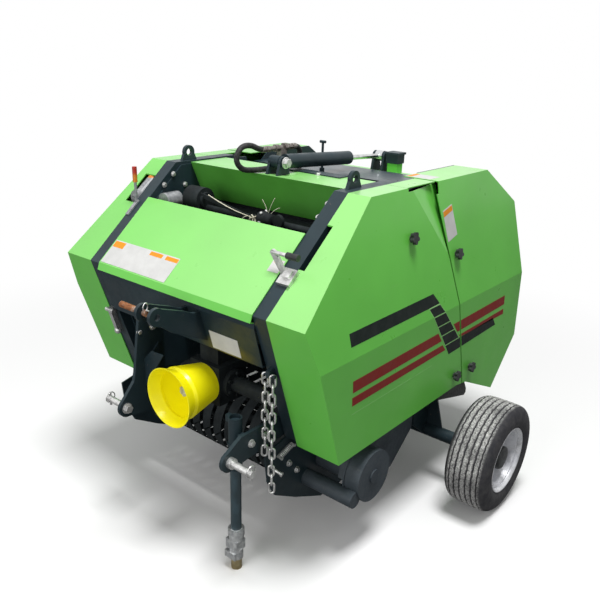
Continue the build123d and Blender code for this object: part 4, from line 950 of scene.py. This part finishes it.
class BuildLabels(bpy.types.Operator):
    """Blank labels with a plain orange heading, and the blank plate on the front panel"""

    bl_idname = "baler.build_labels"
    bl_label = "Blank labels"

    # On the hood's slope and on the tailgate's top, as X and Y from and to
    HOOD_WHITE = ((-345, -23, -597, -527), (305, 346, -494, -461))
    HOOD_ORANGE = ((-343, -289, -548, -530), (-159, -99, -541, -530), (-83, -25, -541, -530),
                   (311, 339, -470, -464))
    TOP_WHITE, TOP_ORANGE = (352, 446, 128, 196), (356, 372, 132, 192)
    # On the near rear door, as (Y, Z)
    DOOR_WHITE = [(138, 1074), (199, 1089), (226, 985), (162, 969)]
    DOOR_ORANGE = [(139.5, 1070), (198, 1084.5), (202, 1068), (143, 1053)]
    # On the front panel, as (X, Z)
    PLATE = ((148, 769), (267, 769), (267, 708), (148, 708))

    def on_slope(self, box, rise, thick):
        """A label on the hood's slope, raised a little above its face."""
        x0, x1, y0, y1 = box
        corners = np.array([(x, y, slope_z(y)) for x, y in ((x0, y0), (x1, y0), (x1, y1), (x0, y1))])
        return polygon_slab(corners + SLOPE_NORMAL * (HOOD_LIFT + rise), thick, SLOPE_NORMAL)

    def on_top(self, box, thick):
        """A label on the tailgate's flat top."""
        x0, x1, y0, y1 = box
        return polygon_slab([(x0, y0, TOP), (x1, y0, TOP), (x1, y1, TOP), (x0, y1, TOP)], thick, (0, 0, 1))

    def execute(self, context):
        white = Batch(*(self.on_slope(box, 0, 0.4) for box in self.HOOD_WHITE))
        white.piece("hood_labels", "chassis", finish("white_film"), smooth=False)
        orange = Batch(*(self.on_slope(box, 0.35, 0.25) for box in self.HOOD_ORANGE))
        orange.piece("hood_label_headings", "chassis", finish("orange_film"), smooth=False)
        rear = Batch(side_plate(self.DOOR_WHITE, 0.4), self.on_top(self.TOP_WHITE, 0.4))
        rear.piece("rear_labels", "tailgate", finish("white_film"), smooth=False)
        heading = Batch(side_plate(self.DOOR_ORANGE, 0.7), self.on_top(self.TOP_ORANGE, 0.7))
        heading.piece("rear_label_headings", "tailgate", finish("orange_film"), smooth=False)
        # The front panel's face leans between its foot and its top, and its normal looks ahead, towards -Y
        (top_y, top_z), (foot_y, foot_z) = PANEL_TOP, PANEL_FOOT
        lean = (top_y - foot_y) / (top_z - foot_z)
        normal = np.array([0, -1, lean]) / math.hypot(1, lean)
        corners = np.array([(x, foot_y + (z - foot_z) * lean, z) for x, z in self.PLATE])
        plate = Batch(polygon_slab(corners + normal * PANEL_LIFT, 0.8, normal))
        plate.piece("blank_type_plate", "chassis", finish("white_film"), smooth=False)
        return {"FINISHED"}


class BuildTwine(bpy.types.Operator):
    """Twine along the feeder's arm, its knot, and loose ends at the clamp"""

    bl_idname = "baler.build_twine"
    bl_label = "Twine"

    ARM_START, ARM_END, SAG = (-150.0, -292.0, 1089.0), (62.0, -294.0, 1046.0), 7.0
    # Loose ends at the eyelet, each as start, middle and tip
    ENDS = [((118, -290, 1068), (112, -292, 1090), (100, -296, 1112)),
            ((120, -290, 1068), (130, -288, 1094), (140, -282, 1120)),
            ((128, -290, 1066), (146, -286, 1084), (160, -280, 1092)),
            ((60, -296, 1046), (44, -306, 1052), (30, -318, 1040)),
            ((66, -296, 1044), (84, -308, 1034), (92, -320, 1020))]
    KNOT = (62, -296, 1044)
    # The clamp: its foot, its stepped section along X as (radius, distance), and the bolts round its rim
    CLAMP_FOOT = (86, -292, 1050)
    CLAMP = [(14, 0), (22, 3), (24, 8), (24, 34), (20, 38), (20, 50), (12, 54)]
    BOLTS_X, BOLTS_R, BOLT_ANGLES = 21, 23.4, (0.35, 1.25, 2.2, 3.4, 5.2)

    def execute(self, context):
        t = np.linspace(0, 1, 24)[:, None]
        start, end = np.array(self.ARM_START), np.array(self.ARM_END)
        sag = np.sin(math.pi * t) * (0, 0, self.SAG)
        batch = Batch(sweep_round(start + t * (end - start) - sag, 1.7, 8))
        for tail in np.array(self.ENDS, float):
            batch.add(*sweep_round(bend_through(*tail, t), 0.8, 6))
        # The knot: a curve wound twice round while its radius swells and shrinks three times
        w = np.linspace(0, 2 * math.pi, 90, endpoint=False)
        wound = 11 + 5 * np.cos(3 * w)
        knot = np.stack([wound * np.cos(2 * w), 6 * np.sin(3 * w), 0.8 * wound * np.sin(2 * w)], -1)
        batch.add(*sweep_round(knot + self.KNOT, 1.9, 8, closed=True))
        batch.piece("feeder_twine", "chassis", finish("twine"))
        # The clamp wears the near-black finish with its painted shade.
        clamp = Batch(lathe(self.CLAMP, self.CLAMP_FOOT, (1, 0, 0), 40))
        clamp.piece("twine_clamp", "chassis", finish("grime"), "dark_paint")
        bolts = Batch()
        for angle in self.BOLT_ANGLES:
            out = np.array([0, math.cos(angle), math.sin(angle)])
            at = self.CLAMP_FOOT + np.array([self.BOLTS_X, 0, 0]) + self.BOLTS_R * out
            bolts.add(*hexagon_bolt(at, out, 9, 6, washer=False)[0])
        bolts.piece("twine_clamp_bolts", "chassis", finish("zinc"), "zinc_steel", smooth=False)
        return {"FINISHED"}


class BuildFasteners(bpy.types.Operator):
    """Bolt heads, linchpins and rings on frame, hitch and cylinder"""

    bl_idname = "baler.build_fasteners"
    bl_label = "Small fasteners"

    # Place in millimetres, outward axis, width across flats
    CHASSIS_BOLTS = [
        ((70, -152, 1206), (1, 0, 0), 26), ((-136, -619, 693), (1, 0, 0), 14),
        ((-130, -690, 446), (1, 0, 0), 26), ((138, -65, 1166), (0, 0, 1), 14),
        ((344, -277, 1132), (-1, 0, 0), 13), ((-344, -277, 1132), (1, 0, 0), 13),
        ((-344, -319, 1099), (1, 0, 0), 13), ((-344, -225, 1090), (1, 0, 0), 13),
        ((344, -319, 1099), (-1, 0, 0), 13), ((356, -440, 330), (1, 0, 0), 16),
        ((356, -400, 286), (1, 0, 0), 16), ((356, -330, 200), (1, 0, 0), 16),
        ((356, -140, 200), (1, 0, 0), 16), ((-356, -440, 330), (-1, 0, 0), 16),
        ((-356, -400, 286), (-1, 0, 0), 16), ((-356, -140, 200), (-1, 0, 0), 16),
        ((344, -600, 470), (1, 0, 0), 18), ((344, -540, 470), (1, 0, 0), 18),
        ((-130, -590, 470), (1, 0, 0), 18), ((-130, -570, 700), (1, 0, 0), 16),
    ]
    # The lower pins' tips in X, and where their linchpins stand: Y, and heights from head to foot
    PIN_TIPS, LINCHPIN_Y, LINCHPIN_Z = (344 + 82, -142 - 82), -687, (470, 446, 424)
    LANYARD = [(84, -754, 862), (100, -668, 826), (57, -588, 804)]
    BEADS, BEAD_R = 46, (1.2, 1.1)
    # The pickup's relief spring between its two studs: radius, turns, wire; then a stud's section
    SPRING, SPRING_R, SPRING_TURNS, SPRING_WIRE = [(364, -435, 401), (364, -495, 380)], 8.0, 11, 1.7
    STUD = [(3.5, -12), (3.5, 9), (5.5, 9.5), (5.5, 12)]
    # The spare clevis pin's section, place and slant
    CLEVIS_PIN = [(5.5, -3), (5.5, 30), (8, 30.5), (8, 35), (6, 36)], (354, -513, 342), (1, 0.22, -0.3)

    def execute(self, context):
        batch = Batch()
        for at, axis, across in self.CHASSIS_BOLTS:
            for shell in hexagon_bolt(at, axis, across, across * 0.55):
                batch.add(*shell)
        for x in self.PIN_TIPS:
            # Linchpin through the lower pin's tip, and its sprung ring
            batch.add(*sweep_round([(x, self.LINCHPIN_Y, z) for z in self.LINCHPIN_Z], 4.0, 12))
            batch.add(*sweep_round(oval((x, self.LINCHPIN_Y, 452), (3, 17, 19)), 1.8, 8, closed=True))
        batch.add(*sweep_round(oval((79, -750, 868), (2, 8, 13)), 1.8, 8, closed=True))
        # Beaded lanyard from the top link pin to the front panel
        t = np.linspace(0, 1, 120)[:, None]
        thin, swell = self.BEAD_R
        beads = thin + swell * np.abs(np.sin(t[:, 0] * self.BEADS))
        batch.add(*sweep_round(bend_through(*np.array(self.LANYARD, float), t), beads, 8))
        # Relief spring: a helix along its axis
        top, foot = np.array(self.SPRING, float)
        across, up = basis(foot - top)[:2]
        t = np.linspace(0, 1, 260)[:, None]
        turn = 2 * math.pi * self.SPRING_TURNS * t
        coil = top + t * (foot - top) + self.SPRING_R * (np.cos(turn) * across + np.sin(turn) * up)
        batch.add(*sweep_round(coil, self.SPRING_WIRE, 7))
        for stud in (top, foot):
            batch.add(*lathe(self.STUD, stud, (1, 0, 0), 12))
        batch.add(*lathe(*self.CLEVIS_PIN, 16))
        batch.piece("small_fasteners", "chassis", finish("zinc"), "zinc_steel", smooth=False)
        return {"FINISHED"}


class BuildRests(bpy.types.Operator):
    """Black rests under the side doors, the hitch's corner plate and the grey tube in the far slot"""

    bl_idname = "baler.build_rests"
    bl_label = "Door rests, corner plate and slot tube"

    # A rest hangs just inside each door: its outline as (Y, Z), and the bar that joins it to the wheel's arm
    REST_X, REST_THICK = 524.0, 8.0
    REST = [(189, 372), (294, 342), (410, 309), (422, 318), (422, 334), (401, 368), (371, 388), (300, 396),
            (240, 399), (196, 396)]
    BAR_X, BAR_Y, BAR_Z, BAR_THICK = (466, 527), (200, 236), 389, 6
    # The corner plate from the far hitch plate up to the cross member, as (X, Z)
    CORNER, CORNER_Y, CORNER_THICK = ((-130, 498), (-130, 598), (-92, 636), (-31, 639)), -606, 4
    TUBE_START, TUBE_RUN, TUBE_R = (-428, -378, 1043), (0, 90, 70), 20.0

    def execute(self, context):
        (x0, x1), (y0, y1) = self.BAR_X, self.BAR_Y
        for mirror, side in ((1, "near"), (-1, "far")):
            outline = [(mirror * self.REST_X, y, z) for y, z in self.REST]
            bar = [(mirror * x, y, self.BAR_Z) for x, y in ((x0, y0), (x1, y0), (x1, y1), (x0, y1))]
            batch = Batch(polygon_slab(outline, self.REST_THICK, (mirror, 0, 0)),
                          polygon_slab(bar, self.BAR_THICK, (0, 0, 1)))
            batch.piece("door_rest_" + side, "chassis", finish("black"), "black_plastic", smooth=False)
        corner = [(x, self.CORNER_Y, z) for x, z in self.CORNER]
        plate = Batch(polygon_slab(corner, self.CORNER_THICK, (0, -1, 0)))
        plate.piece("hitch_corner_plate", "chassis", finish("dark"), "dark_paint", smooth=False)
        run = self.TUBE_START + np.linspace(0, 1, 12)[:, None] * self.TUBE_RUN
        Batch(sweep_round(run, self.TUBE_R, 28)).piece("slot_tube", "chassis", finish("lever"), "zinc_steel")
        return {"FINISHED"}


class BuildStage(bpy.types.Operator):
    """Pale floor, soft lamps, white surroundings and the photograph's camera"""

    bl_idname = "baler.build_stage"
    bl_label = "Stage"

    # Lamps' places and widths in metres, and the place that they look at
    KEY_PLACE, KEY_SIZE = (1.38, -0.66, 6.36), 1.7
    FILL_PLACE, FILL_SIZE = (0.1, -4.9, 1.9), 3.0
    LAMP_AIM = (0, 0, 0.6)
    # The floor's half width, and the distances between which it fades to plain white for the camera
    FLOOR_HALF, FADE = 30.0, (0.9, 3.0)
    # The floor's grey as the machine's light meets it, and as the camera sees it
    FLOOR_GREY = (0.25, 0.93)
    SENSOR = 36.0

    def execute(self, context):
        s, scene = context.scene.baler_stage, context.scene
        scene.view_settings.view_transform = "Standard"
        self.floor()
        self.surroundings(s.sky)
        self.lamp("key_lamp", self.KEY_PLACE, s.key, self.KEY_SIZE)
        self.lamp("fill_lamp", self.FILL_PLACE, s.fill, self.FILL_SIZE)
        camera = bpy.data.cameras.new("photo_camera")
        camera.sensor_width = self.SENSOR
        camera.lens = self.SENSOR * FOCAL_PX / IMAGE_PX
        camera.shift_x = (IMAGE_PX / 2 - CENTRE_PX[0]) / IMAGE_PX
        camera.shift_y = (CENTRE_PX[1] - IMAGE_PX / 2) / IMAGE_PX
        right, down, ahead = (np.array(v) for v in CAMERA_AXES)
        scene.camera = self.stand(camera, [right, -down, -ahead], place(CAMERA_PLACE))
        return {"FINISHED"}

    def stand(self, data, axes, at):
        """A lamp's or a camera's object at a place in metres, turned to three axes."""
        made = bpy.data.objects.new(data.name, data)
        bpy.context.scene.collection.objects.link(made)
        matrix = np.eye(4)
        matrix[:3, :3] = np.stack(axes, 1)
        matrix[:3, 3] = at
        made.matrix_world = mathutils.Matrix(matrix.tolist())
        return made

    def lamp(self, name, at, power, size):
        """A square soft lamp."""
        light = bpy.data.lights.new(name, "AREA")
        light.energy, light.size = power, size
        self.stand(light, basis(np.subtract(at, self.LAMP_AIM)), at)

    def floor(self):
        """A pale floor that keeps the shadow near the machine and fades to plain white far out."""
        half = self.FLOOR_HALF
        mesh = bpy.data.meshes.new("floor")
        corners = [(-half, -half, 0), (half, -half, 0), (half, half, 0), (-half, half, 0)]
        mesh.from_pydata(corners, [], [(0, 1, 2, 3)])
        material = bpy.data.materials.new("pale_floor")
        g = Graph(material)
        camera_ray = g.node("ShaderNodeLightPath").outputs["Is Camera Ray"]
        # Pale to the camera, greyer to the machine, so that little light comes back up at it
        shade = g.node("ShaderNodeBsdfDiffuse", {"Color": g.span(camera_ray, 0, 1, *self.FLOOR_GREY)})
        away = g.node("ShaderNodeVectorMath", {0: g.coord()}, operation="LENGTH").outputs["Value"]
        seen = g.times(g.span(away, *self.FADE, curve="SMOOTHSTEP"), camera_ray)
        glow = g.node("ShaderNodeEmission")
        mix = g.node("ShaderNodeMixShader", {0: seen, 1: shade.outputs[0], 2: glow.outputs[0]})
        g.node("ShaderNodeOutputMaterial", {0: mix.outputs[0]})
        mesh.materials.append(material)
        floor = bpy.data.objects.new("floor", mesh)
        bpy.context.scene.collection.objects.link(floor)

    def surroundings(self, sky):
        """Even light all round, and plain white where the camera, gloss or glass looks past the machine."""
        world = bpy.data.worlds.new("surroundings")
        bpy.context.scene.world = world
        g = Graph(world)
        rays = g.node("ShaderNodeLightPath").outputs
        straight = g.math("ADD", rays["Is Camera Ray"], rays["Is Transmission Ray"])
        seen = g.math("ADD", straight, rays["Is Glossy Ray"], clamp=True)
        light = {"Color": (1, 1, 1, 1), "Strength": g.span(seen, 0, 1, sky, 1.0)}
        g.node("ShaderNodeOutputWorld", {0: g.node("ShaderNodeBackground", light).outputs[0]})


PIECES = (PaintFrame, BuildTyres, BuildChains, BuildHoses, BuildStripes, BuildLabels, BuildTwine,
          BuildFasteners, BuildRests, BuildStage)
GROUPS = {"baler_paint": PaintSettings, "baler_tyre": TyreSettings, "baler_chain": ChainSettings,
          "baler_stage": StageSettings}


class BalerPanel(bpy.types.Panel):
    """Lists the machine's pieces and their settings"""

    bl_idname = "VIEW3D_PT_baler"
    bl_label = "Baler"
    bl_space_type = "VIEW_3D"
    bl_region_type = "UI"
    bl_category = "Baler"

    def draw(self, context):
        for name, group in GROUPS.items():
            box = self.layout.box()
            for setting in group.__annotations__:
                box.prop(getattr(context.scene, name), setting)
        for piece in PIECES:
            self.layout.operator(piece.bl_idname)


def register():
    """Add the settings, the operators and the panel."""
    for cls in (*GROUPS.values(), *PIECES, BalerPanel):
        bpy.utils.register_class(cls)
    for name, cls in GROUPS.items():
        setattr(bpy.types.Scene, name, bpy.props.PointerProperty(type=cls))


def unregister():
    """Take them away again, in the opposite order."""
    for name in GROUPS:
        delattr(bpy.types.Scene, name)
    for cls in (BalerPanel, *reversed(PIECES), *reversed(list(GROUPS.values()))):
        bpy.utils.unregister_class(cls)


def main():
    """Register everything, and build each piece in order."""
    register()
    for piece in PIECES:
        group, name = piece.bl_idname.split(".")
        getattr(getattr(bpy.ops, group), name)()


if __name__ == "__main__":
    main()
